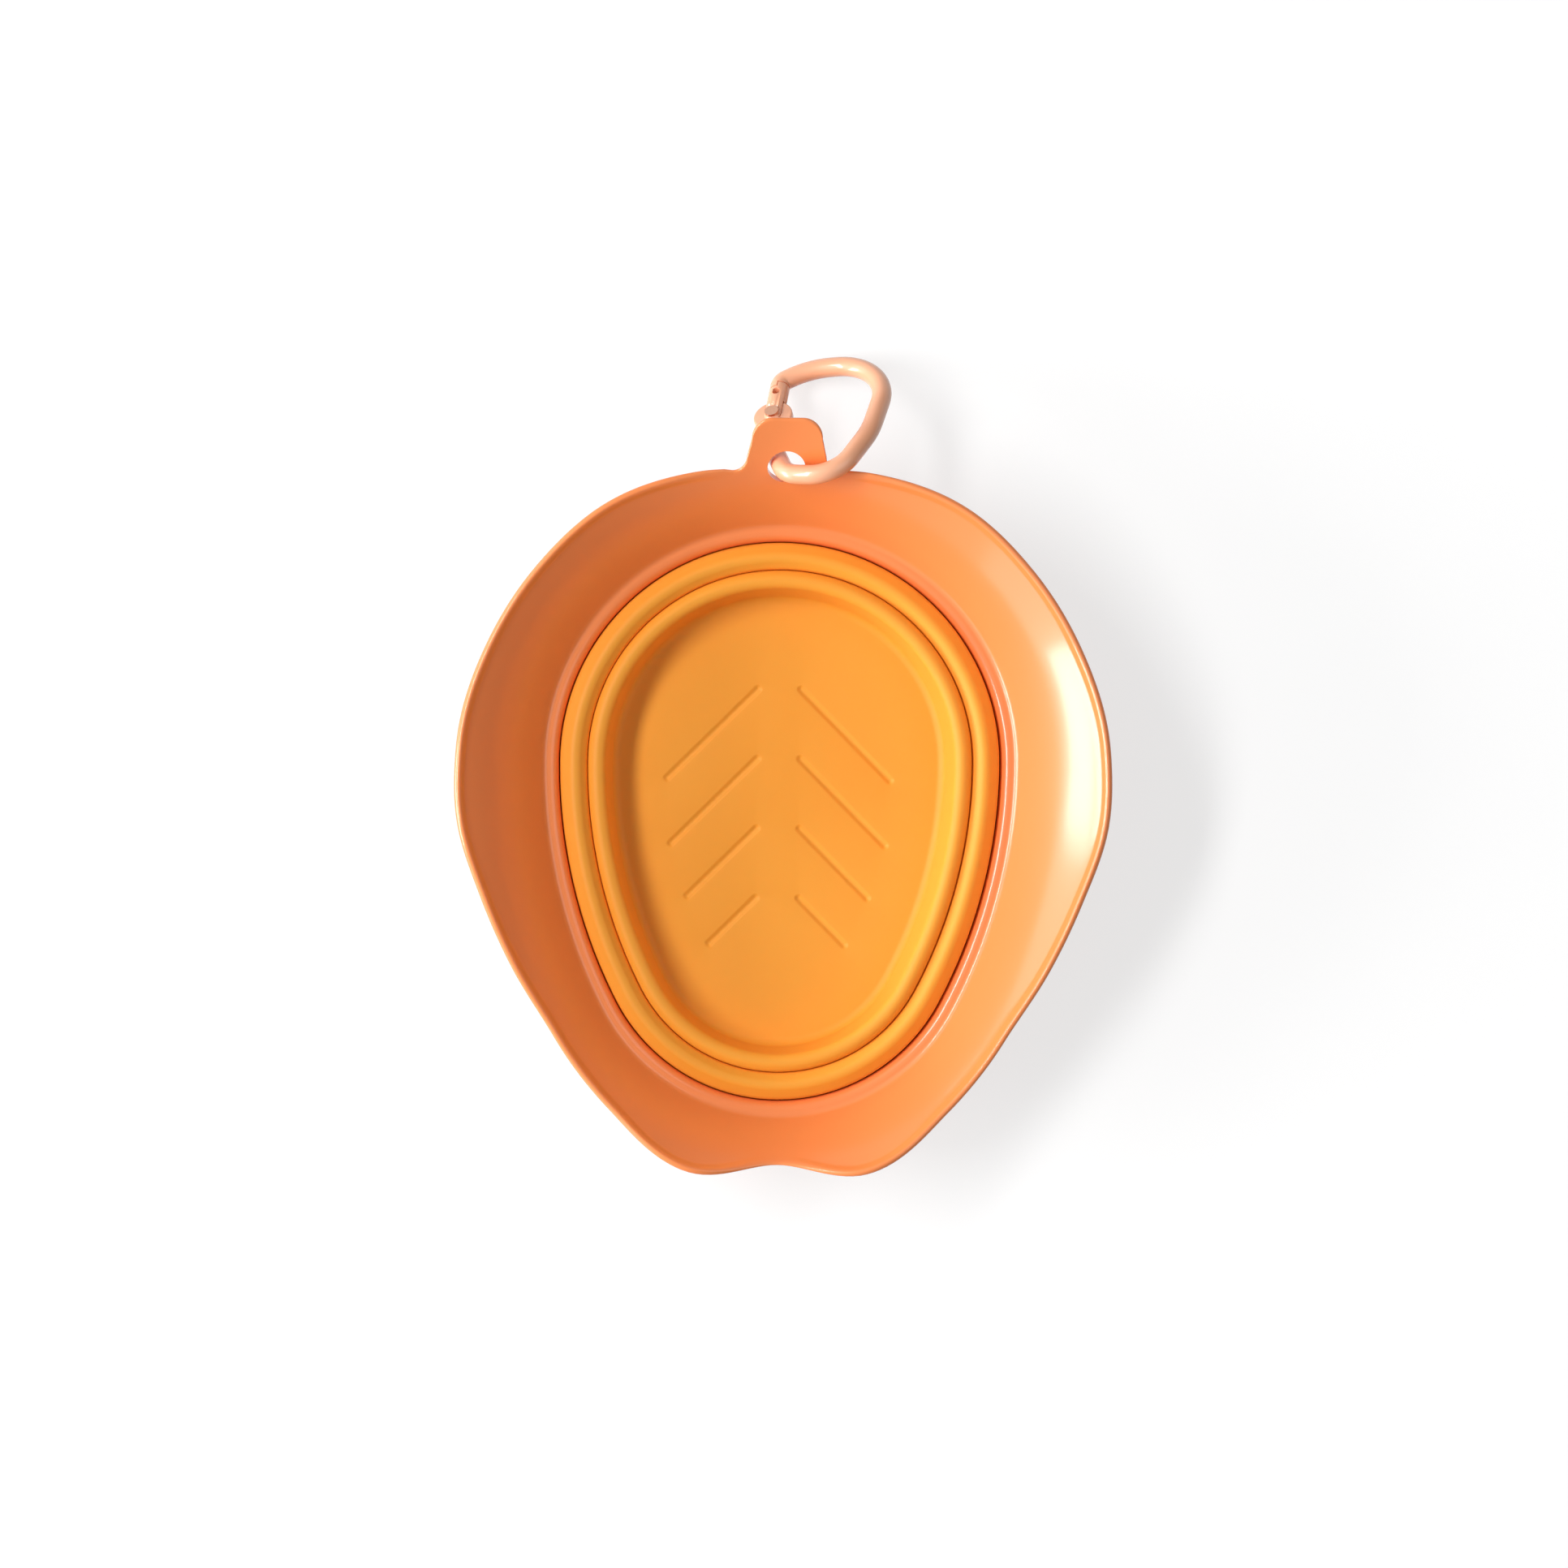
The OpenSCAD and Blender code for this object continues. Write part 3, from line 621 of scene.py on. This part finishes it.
# %% [markdown]
# ## The collar
#
# The collar starts at the soft bowl, runs out over a narrow shelf and sweeps up and out to a wavy
# rim. The rim stands far out at the sides, dips inwards at the pouring notch and grows into the
# tab at the other end. All this is one height field over the ground plan, so each section line
# from the egg out to the edge gets its height from the same few rules: the widths of the flare
# at even steps along the egg, the sweep of the wall, the bead on the rim, and the slope of the tab.

# %% Rules of the collar
FLARE_SHARES = (
    0.659, 0.808, 0.684, 0.678, 0.781, 0.887, 1, 0.983, 0.912, 0.874, 0.858, 0.759, 0.653,
)
FLARE_W, COLLAR_T, SHELF_Z, SHELF_W, SHELF_ROUND = 22.7, 2.0, 10.3, 2.6, 2.2
SKIRT_T, SKIRT_Z, WALL_FILLET, SWEEP_R, WALL_SLOPE = 1.6, 2.2, 1.5, 25.0, 1.32
LIP_W, LIP_H, NOTCH_D, NOTCH_W, LIP_FADE, TAB_TURN = 2.4, 0.6, 1.55, 13.0, 12.0, 12.0
TAB_W, TAB_ROOT_W, TAB_L, TAB_CORNER, TAB_FILLET, TAB_BLEND = 15.0, 16.8, 11.1, 4.3, 3.0, 3.0
HOLE_D, HOLE_OUT, TAB_SLOPE, EDGE_SHARE = 8.0, 1.0, 28.0, 0.45
TAB_STEEP = math.tan(math.radians(TAB_SLOPE))


def flare_share(i):
    last = len(FLARE_SHARES) - 1
    j = abs(i)
    return FLARE_SHARES[2 * last - j if j > last else j]


tail_run = TAIL_R * math.radians(90 - SIDE_TURN)
side_run = tail_run + SIDE_R * math.radians(SIDE_TURN)
head_run = side_run + HEAD_R * math.radians(90)


def egg_run(turn):
    """Way along the egg from the middle of the tail to where it faces turn degrees."""
    if turn >= 0:
        return side_run + HEAD_R * math.radians(turn)
    if turn >= -SIDE_TURN:
        return side_run + SIDE_R * math.radians(turn)
    return tail_run + TAIL_R * math.radians(turn + SIDE_TURN)


def notch(turn):
    t = egg_run(turn) / NOTCH_W
    return math.cos(math.radians(90 * t)) ** 2 if t < 1 else 0.0


def flare(turn):
    """Distance from the egg to the rim, where the egg faces turn degrees."""
    last = len(FLARE_SHARES) - 1
    u = last * egg_run(turn) / head_run
    i = min(math.floor(u), last - 1)
    t = u - i
    a, b, c, d = (flare_share(i + k) for k in (-1, 0, 1, 2))
    smooth = b + t * (c - a + t * (2 * a - 5 * b + 4 * c - d + t * (3 * (b - c) + d - a))) / 2
    return FLARE_W * smooth - NOTCH_D * notch(turn)


def egg_place(x, y):
    """The facing direction and the distance out from the egg, for a point of the ground plan."""
    x = abs(x)
    if y >= HEAD_Y:
        return math.degrees(math.atan2(y - HEAD_Y, x)), math.hypot(x, y - HEAD_Y) - HEAD_R
    side = math.degrees(math.atan2(y - HEAD_Y, x + SIDE_X))
    if side >= -SIDE_TURN:
        return side, math.hypot(x + SIDE_X, y - HEAD_Y) - SIDE_R
    return math.degrees(math.atan2(y - TAIL_Y, x)), math.hypot(x, y - TAIL_Y) - TAIL_R


def wall_rise(out):
    s = out - SHELF_W
    past = s - WALL_FILLET
    if s <= 0:
        return 0.0
    if past <= 0:
        return WALL_SLOPE * s * s / (2 * WALL_FILLET)
    return WALL_SLOPE * (s - WALL_FILLET / 2) - past * past / (2 * SWEEP_R)


def wall_steep(out):
    s = out - SHELF_W
    past = s - WALL_FILLET
    if s <= 0:
        return 0.0
    if past <= 0:
        return WALL_SLOPE * s / WALL_FILLET
    return WALL_SLOPE - past / SWEEP_R


def lip(turn, out):
    t = (flare(turn) - out) / LIP_W
    if not 0 < t < 1:
        return 0.0
    share = max(0.0, min(1.0, (90 - TAB_TURN - turn) / LIP_FADE)) * (1 - notch(turn))
    return LIP_H * share * math.sin(math.pi * t) ** 2


def shelf_drop(out):
    """How far the shelf's rounded inner edge lies below its flat."""
    if out >= SHELF_ROUND:
        return 0.0
    return SHELF_ROUND - math.sqrt(max(0.0, SHELF_ROUND**2 - (SHELF_ROUND - out) ** 2))


def top_z(x, y):
    turn, out = egg_place(x, y)
    rim = flare(turn)
    z = SHELF_Z + wall_rise(min(out, rim)) + lip(turn, out) - shelf_drop(out)
    if out > rim:
        past, steep = out - rim, wall_steep(rim)
        ease = min(past, TAB_BLEND)
        z += (
            steep * ease
            + (TAB_STEEP - steep) * ease**2 / (2 * TAB_BLEND)
            + TAB_STEEP * (past - ease)
        )
    return z


def wall_depth(x, y):
    turn, out = egg_place(x, y)
    steep = wall_steep(out) if out < flare(turn) else TAB_STEEP
    return COLLAR_T * math.sqrt(1 + steep * steep)


print("rim", round(flare(0), 1), "mm out at the sides,", round(flare(-90), 1), "at the notch")

# %% Section lines of the collar
COLLAR_STEPS = (1.5, 0.55, 1.0)  # Degrees
EDGE_ANGLES, WALL_STEPS, FILLET_STEPS, LIP_STEPS = (20, 40, 60, 75), 14, 4, 8
RIM_Y = BOWL_L / 2 + flare(90)
TAB_Y = RIM_Y + TAB_L
HOLE_Y = RIM_Y + HOLE_OUT
HOLE_Z = top_z(0, HOLE_Y) - COLLAR_T / 2
turns = stations(COLLAR_STEPS, 90 - TAB_TURN) + [90 - TAB_TURN]
root = (TAB_ROOT_W / 2 + TAB_FILLET, RIM_Y + TAB_FILLET)
corner = (TAB_W / 2 - TAB_CORNER, TAB_Y - TAB_CORNER)
tab_half = legs(
    arc(*root, TAB_FILLET, 270, 180, 10) + arc(*corner, TAB_CORNER, 0, 90, 14) + [(0.0, TAB_Y)], 0.7
)
right = [(egg(t, 0), egg(t, flare(t))) for t in turns]
right += [
    (egg(turns[-1] + TAB_TURN * (i + 1) / len(tab_half), 0), p) for i, p in enumerate(tab_half)
]
lines = right + [((-a[0], a[1]), (-b[0], b[1])) for a, b in right[-2:0:-1]]
print("collar:", len(lines), "section lines, hole at", round(HOLE_Y, 2), round(HOLE_Z, 2))


def collar_section(a, b):
    """Closed section of the collar over one line of the ground plan."""
    long = math.dist(a, b)
    edge_r = COLLAR_T * EDGE_SHARE

    def at(s):
        return a[0] + (b[0] - a[0]) * s / long, a[1] + (b[1] - a[1]) * s / long

    bead_in, bead_low = BEAD_D + BEAD_GAP, BEAD_Z - BEAD_GAP
    bead_high = BEAD_Z + BEAD_H + BEAD_GAP
    groove = [(0, SKIRT_Z), (0, bead_low), (bead_in, bead_low), (bead_in, bead_high)]
    groove += [(0, bead_high), (0, SHELF_Z - SHELF_ROUND)]
    section = [(*at(s), z) for s, z in groove]
    start, end = SHELF_W + WALL_FILLET, long - LIP_W
    stops = [SHELF_ROUND * (1 - math.cos(math.radians(a))) for a in (*EDGE_ANGLES, 90)]
    stops += [SHELF_ROUND + (SHELF_W - SHELF_ROUND) / 2, SHELF_W]
    stops += [SHELF_W + WALL_FILLET * k / FILLET_STEPS for k in range(1, FILLET_STEPS)]
    stops += [start + (end - start) * k / WALL_STEPS for k in range(WALL_STEPS + 1)]
    stops += [end + (LIP_W - edge_r) * k / LIP_STEPS for k in range(1, LIP_STEPS + 1)]
    stops += [long - edge_r * (1 - math.sin(math.radians(a))) for a in EDGE_ANGLES]
    for s in stops:
        x, y = at(s)
        near = max(0.0, edge_r + s - long)
        section.append((x, y, top_z(x, y) - (edge_r - math.sqrt(max(0.0, edge_r**2 - near**2)))))
    high, low = top_z(*b) - edge_r, top_z(*b) - wall_depth(*b) + edge_r / 2
    section += [(*b, high), (*b, low)]
    for k in range(WALL_STEPS, -1, -1):
        x, y = at(start + (long - edge_r / 2 - start) * k / WALL_STEPS)
        section.append((x, y, top_z(x, y) - wall_depth(x, y)))
    section += [(*at(SKIRT_T), SHELF_Z - COLLAR_T - SKIRT_T / 2), (*at(SKIRT_T), SKIRT_Z)]
    return section


# %% The collar and the hole in its tab
sections = [collar_section(a, b) for a, b in lines]
points = np.array([p for s in sections for p in s]) * MM
hard_collar = piece("hard_collar", points, grid_faces(len(lines), len(sections[0])))
HOLE_SIDES = 96
hole_middle = Matrix.Translation(Vector((0, HOLE_Y, HOLE_Z)) * MM)
tilt = hole_middle @ Matrix.Rotation(math.radians(TAB_SLOPE), 4, "X")
drill = bpy.data.meshes.new("drill")
work = bmesh.new()
bmesh.ops.create_cone(
    work, cap_ends=True, segments=HOLE_SIDES, radius1=HOLE_D / 2 * MM, radius2=HOLE_D / 2 * MM,
    depth=HOLE_D * MM, matrix=tilt,
)
work.to_mesh(drill)
work.free()
drill_obj = bpy.data.objects.new("drill", drill)
bpy.context.scene.collection.objects.link(drill_obj)
cut = hard_collar.modifiers.new("hole", "BOOLEAN")
cut.operation, cut.solver, cut.object = "DIFFERENCE", "EXACT", drill_obj
bpy.context.view_layer.update()
result = hard_collar.evaluated_get(bpy.context.evaluated_depsgraph_get())
hard_collar.data = bpy.data.meshes.new_from_object(result)
hard_collar.modifiers.clear()
bpy.data.objects.remove(drill_obj)
shade(hard_collar.data, sharp_deg=40)
report(hard_collar)

# %% [markdown]
# ## The snap ring
#
# The ring is one round wire, bent at seven corners. Its drawing lies flat, and one matrix then
# tilts it into the tab's hole, as it hangs in the photograph. Geometry Nodes carry a circle along
# the wire's path. The hinge end is pressed flat into an eye, and the nose ends in a tongue that
# is half as wide as the wire, which the gate laps.

# %% Sizes of the snap ring
WIRE_D, RING_L, RING_W, RING_SIDE = 4.2, 33.4, 24.0, 1.0
RING_TILT, RING_ROLL, GATE_TURN = 45.0, 22.0, 96.0
EYE_D, EYE_T, EYE_ROUND, GATE_GAP = 8.4, 1.8, 0.35, 0.2
EYE_AT = (0.05 * RING_W, 0.521 * RING_L)
BENDS = [
    (0.091, 0.306), (0.347, 0.007), (0.818, -0.006), (0.994, 0.404), (0.994, 1.041), (0.216, 0.974),
]
BEND_R = [0.271, 0.197, 0.34, 0.822, 0.459, 0.702]
CROSS = (0.284 * RING_W, 0.081 * RING_L)
gate_l, nose_l, nose_r, lap_l = RING_L * 0.284, RING_L * 0.046, WIRE_D * 0.56, WIRE_D * 0.3
gate_way = Vector((math.cos(math.radians(GATE_TURN)), math.sin(math.radians(GATE_TURN))))
eye = Vector(EYE_AT)
nose_end = eye + gate_l * gate_way
nose_bend = nose_end + nose_l * gate_way
at_ring = (
    Matrix.Translation(Vector((-RING_SIDE, HOLE_Y, HOLE_Z)) * MM)
    @ Matrix.Rotation(math.radians(-RING_ROLL), 4, "Y")
    @ Matrix.Rotation(math.radians(-RING_TILT), 4, "X")
    @ Matrix.Translation(Vector((-CROSS[0], -CROSS[1], 0)) * MM)
    @ Matrix.Scale(MM, 4)
)


def bent_path(corners, radii, step_deg=5):
    """Points along straight stretches joined by arcs of the given radii."""
    path = [corners[0]]
    for before, here, after, r in zip(corners, corners[1:], corners[2:], radii):
        way_in, way_out = (here - before).normalized(), (after - here).normalized()
        bend = way_in.angle_signed(way_out) * -1
        lead = r * math.tan(abs(bend) / 2)
        start = here - lead * way_in
        middle = start + Vector((-way_in.y, way_in.x)) * r * math.copysign(1, bend)
        count = max(2, math.ceil(math.degrees(abs(bend)) / step_deg))
        arm = start - middle
        for i in range(count + 1):
            c, s = math.cos(bend * i / count), math.sin(bend * i / count)
            path.append(middle + Vector((arm.x * c - arm.y * s, arm.x * s + arm.y * c)))
    return path + [corners[-1]]


bends = [Vector((x * RING_W, y * RING_L)) for x, y in BENDS]
wire_start = eye + (WIRE_D / 2 + GATE_GAP) * (bends[0] - eye).normalized()
bend_radii = [r * RING_W for r in BEND_R] + [nose_r]
path = bent_path([wire_start] + bends + [nose_bend, nose_end], bend_radii)
print("wire path:", len(path), "points")


# %% The wire tree
WIRE_SIDES = 40


def wire_tree():
    t = Tree("wire along a path")
    line = t.input("Geometry", "NodeSocketGeometry")
    radius = t.input("Radius", "NodeSocketFloat")
    finish = t.input("Finish", "NodeSocketMaterial")
    ring = t.node(
        "GeometryNodeCurvePrimitiveCircle", {"mode": "RADIUS"},
        Resolution=WIRE_SIDES, Radius=radius,
    )
    wire = t.node(
        "GeometryNodeCurveToMesh", **{"Curve": line, "Profile Curve": ring, "Fill Caps": True}
    )
    real = t.node("GeometryNodeRealizeInstances", Geometry=wire)
    t.output(t.node("GeometryNodeSetMaterial", Geometry=real, Material=finish))
    return t.tree


curve = bpy.data.curves.new("wire_line", "CURVE")
curve.dimensions = "3D"
spline = curve.splines.new("POLY")
spline.points.add(len(path) - 1)
for p, q in zip(spline.points, path):
    p.co = (*(at_ring @ Vector((q.x, q.y, 0))), 1)
line = bpy.data.objects.new("wire_line", curve)
bpy.context.scene.collection.objects.link(line)
wire_mesh = bake(line, wire_tree(), {"Radius": WIRE_D / 2 * MM, "Finish": PAINT})
bpy.data.objects.remove(line)
print("wire:", len(wire_mesh.polygons), "faces")

# %% Eye of the snap ring
EYE_SIDES = 56


def lathe(profile, sides):
    """A closed round body from (radius, height) pairs, its first and last on the axis."""
    points, faces = [(0, 0, profile[0][1])], []
    for r, z in profile[1:-1]:
        for i in range(sides):
            a = 2 * math.pi * i / sides
            points.append((r * math.cos(a), r * math.sin(a), z))
    points.append((0, 0, profile[-1][1]))
    last = len(points) - 1
    top_ring = last - sides
    for i in range(sides):
        k = (i + 1) % sides
        faces.append((0, 1 + k, 1 + i))
        for low in range(1, top_ring, sides):
            faces.append((low + i, low + k, low + sides + k, low + sides + i))
        faces.append((last, top_ring + i, top_ring + k))
    return [Vector(p) for p in points], faces


eye_side, eye_top = EYE_D / 2 - EYE_ROUND, EYE_T / 2
eye_profile = [(0, -eye_top), (eye_side, -eye_top)]
eye_profile += arc(eye_side, EYE_ROUND - eye_top, EYE_ROUND, -90, 0, 4)[1:]
eye_profile += arc(eye_side, eye_top - EYE_ROUND, EYE_ROUND, 0, 90, 4)
eye_profile += [(0, eye_top)]
eye_points, eye_faces = lathe(eye_profile, EYE_SIDES)
eye_points = [at_ring @ (p + Vector((*EYE_AT, 0))) for p in eye_points]
print("eye:", len(eye_faces), "faces")

# %% Tongue of the snap ring
TONGUE_ROOT, TONGUE_INSET, TONGUE_SIDES = 0.3, 0.03, 17
tongue_r = WIRE_D / 2 - TONGUE_INSET
tongue = []
for s in (gate_l - lap_l, gate_l + TONGUE_ROOT):
    for i in range(TONGUE_SIDES):
        a = math.radians(180 * i / (TONGUE_SIDES - 1))
        tongue.append((s, max(tongue_r * math.sin(a), GATE_GAP / 2), tongue_r * math.cos(a)))
eye_middle = Matrix.Translation(Vector((*EYE_AT, 0)))
gate_frame = at_ring @ eye_middle @ Matrix.Rotation(math.radians(GATE_TURN), 4, "Z")
tongue = [gate_frame @ Vector(p) for p in tongue]
ends = [tuple(range(TONGUE_SIDES)), tuple(range(2 * TONGUE_SIDES - 1, TONGUE_SIDES - 1, -1))]
tongue_faces = ends + grid_faces(2, TONGUE_SIDES, wrap_rows=False)

points = [v.co.copy() for v in wire_mesh.vertices]
faces = [tuple(p.vertices) for p in wire_mesh.polygons]
for more_points, more_faces in ((eye_points, eye_faces), (tongue, tongue_faces)):
    faces += [tuple(len(points) + i for i in f) for f in more_faces]
    points += more_points
snap_ring = piece("snap_ring", points, faces, sharp_deg=35)
report(snap_ring)

# %% [markdown]
# ## Gate, rivet and spring
#
# These three are small turned parts whose shapes the construction model already has in full: the
# fork, the bores, the lap and the window. Each is a copy of its construction node. The copy's
# loose triangles are welded, and those that share a flat are joined, so that its flats and
# rounds shade cleanly.

# %% Copies of the small parts
FLAT_DEG = 1


def dressed(node, name):
    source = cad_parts[node]
    obj = bpy.data.objects.new(name, source.data.copy())
    obj.data.name = name
    bpy.context.scene.collection.objects.link(obj)
    work = bmesh.new()
    work.from_mesh(obj.data)
    bmesh.ops.remove_doubles(work, verts=work.verts, dist=WELD)
    bmesh.ops.dissolve_limit(
        work, angle_limit=math.radians(FLAT_DEG), verts=work.verts, edges=work.edges
    )
    work.to_mesh(obj.data)
    work.free()
    shade(obj.data, sharp_deg=35)
    report(obj)
    return obj


ring_gate = dressed("gate", "ring_gate")
rivet = dressed("hinge_rivet", "rivet")
spring = dressed("gate_spring", "spring")

# %% [markdown]
# ## Putting the pieces on their bodies
#
# Every piece but the two soft bands rides on a body of the construction model. The two bands lie
# across a fold; they keep their place in the frame, and no body carries them.

# %% Materials and bodies
for obj, finish in (
    (outer_band, RUBBER), (middle_ring, RUBBER), (inner_band, RUBBER), (soft_base, RUBBER),
    (hard_collar, PLASTIC), (snap_ring, PAINT), (ring_gate, PAINT), (rivet, STEEL), (spring, STEEL),
):
    obj.data.materials.clear()
    obj.data.materials.append(finish)
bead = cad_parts["bowl_flange"]
bead.data.materials.clear()
bead.data.materials.append(RUBBER)

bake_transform(outer_band)
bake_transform(inner_band)
for obj, body in (
    (middle_ring, "ring"), (soft_base, "base"), (hard_collar, "collar"),
    (snap_ring, "carabiner"), (rivet, "carabiner"), (spring, "carabiner"), (ring_gate, "gate"),
):
    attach(obj, body)
for obj, node, slot in (
    (outer_band, "fold_band_outer", "bowl_rubber"), (middle_ring, "fold_ring", "bowl_rubber"),
    (inner_band, "fold_band_inner", "bowl_rubber"), (soft_base, "bowl_base", "bowl_rubber"),
    (hard_collar, "collar", "collar_plastic"), (snap_ring, "carabiner_body", "ring_paint"),
    (ring_gate, "gate", "ring_paint"), (rivet, "hinge_rivet", "pin_steel"),
    (spring, "gate_spring", "pin_steel"),
):
    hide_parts(node)
print("pieces placed")

# %% [markdown]
# ## Floor, light and camera
#
# The photograph looks down on a white sheet. A bright, narrow light stands to the left at half
# height, so the left wall of the bowl lies in shade. A wider, lower window and a pale wall on the
# same side are what the glossy right wall mirrors. A weak fill from the right and a pale sky
# open the shadows. The camera hangs far above with a long lens, two and a half degrees to the
# left of upright.

# %% Floor
SHEET, SHEET_Z = 2.0, -0.0002
PAPER_LOW, PAPER_HIGH, PAPER_GLOW = 0.36, 0.37, 0.68
corners = [(x * SHEET, y * SHEET, SHEET_Z) for x, y in ((-1, -1), (1, -1), (1, 1), (-1, 1))]
floor_sheet = piece("floor_sheet", corners, [(0, 1, 2, 3)])
paper = Finish("paper")


def eye_rays(write):
    """1 for what the camera sees directly, in a mirror or through glass, and 0 for light."""
    kinds = ("Is Camera Ray", "Is Glossy Ray", "Is Transmission Ray")
    direct, mirrored, through = (write("ShaderNodeLightPath", out=kind) for kind in kinds)
    return direct + mirrored + through


def grey(level):
    return (level, level, level, 1)


grain = paper.noise(40.0, 2.0)
paper.set(
    Base_Color=paper.mix(grain, grey(PAPER_LOW), grey(PAPER_HIGH)),
    Roughness=0.95,
    Specular_IOR_Level=0.0,
    Emission_Color=paper.mix(eye_rays(paper.node), grey(0.0), grey(PAPER_GLOW)),
    Emission_Strength=1.0,
)
floor_sheet.data.materials.append(paper.material)
print("sheet:", 2 * SHEET, "m wide")

# %% Lamps
LAMP_AWAY = 1.6


def area_light(name, azimuth, elevation, size, watts):
    """A lamp that looks at the middle of the bowl, from a direction in degrees."""
    data = bpy.data.lights.new(name, "AREA")
    data.shape, data.size, data.size_y = "RECTANGLE", size[0], size[1]
    data.energy = watts
    obj = bpy.data.objects.new(name, data)
    bpy.context.scene.collection.objects.link(obj)
    a, e = math.radians(azimuth), math.radians(elevation)
    place = Vector((math.cos(a) * math.cos(e), math.sin(a) * math.cos(e), math.sin(e))) * LAMP_AWAY
    obj.location = place
    obj.rotation_euler = (-place).to_track_quat("-Z", "Y").to_euler()
    print(f"{name}: {watts} W")


area_light("key", 170, 50, (1.2, 0.26), 19.0)
area_light("window", 188, 17, (0.9, 0.46), 17.0)
area_light("pale_wall", 180, 12, (3.4, 0.8), 15.0)
area_light("fill", 15, 55, (1.4, 0.9), 4.2)

# %% The room round the bowl
world = bpy.data.worlds.new("room")
world.use_nodes = True
bpy.context.scene.world = world
sky = world.node_tree.nodes["Background"]
ray = world.node_tree.nodes.new("ShaderNodeLightPath")
AMBIENT, LEFT_SHARE, UPPER_SHARE = 0.15, 0.6, 0.4


def world_sum(operation, *values):
    node = world.node_tree.nodes.new("ShaderNodeMath")
    node.operation = operation
    for socket, value in zip(node.inputs, values):
        if isinstance(value, bpy.types.NodeSocket):
            world.node_tree.links.new(value, socket)
        else:
            socket.default_value = value
    return node.outputs[0]


# In a mirror, the room is pale on the left and dim on the right. The camera itself sees it white
way = world.node_tree.nodes.new("ShaderNodeTexCoord")
split = world.node_tree.nodes.new("ShaderNodeSeparateXYZ")
world.node_tree.links.new(way.outputs["Generated"], split.inputs[0])
side = world_sum("MULTIPLY_ADD", split.outputs["X"], -LEFT_SHARE, UPPER_SHARE)
side = world_sum("MAXIMUM", side, 0.0)
mirrored = world_sum("MAXIMUM", ray.outputs["Is Glossy Ray"], ray.outputs["Is Transmission Ray"])
seen = world_sum("MAXIMUM", world_sum("MULTIPLY", mirrored, side), ray.outputs["Is Camera Ray"])
strength = world_sum("MULTIPLY_ADD", seen, 1.0 - AMBIENT, AMBIENT)
world.node_tree.links.new(strength, sky.inputs["Strength"])
sky.inputs["Color"].default_value = grey(1)
print("room:", AMBIENT, "of white as light")

# %% Camera
HEIGHT, LEAN, FIELD, ROLL = 3.0, 2.5, 331.5 * MM, 0.7
SENSOR_MM, FAR = 36, 20
LOOK_AT = Vector((0.45 * MM, 7.9 * MM, 20 * MM))
lens = bpy.data.cameras.new("camera")
lens.sensor_width = SENSOR_MM
lens.lens = lens.sensor_width * HEIGHT / FIELD
lens.clip_end = FAR
camera = bpy.data.objects.new("camera", lens)
bpy.context.scene.collection.objects.link(camera)
turned = Matrix.Rotation(math.radians(-LEAN), 4, "Y") @ Matrix.Rotation(math.radians(ROLL), 4, "Z")
camera.matrix_world = Matrix.Translation(LOOK_AT) @ turned @ Matrix.Translation((0, 0, HEIGHT))
bpy.context.scene.camera = camera
bpy.context.scene.view_settings.view_transform = "Standard"
print("lens:", round(lens.lens, 1), "mm, from", HEIGHT, "m")
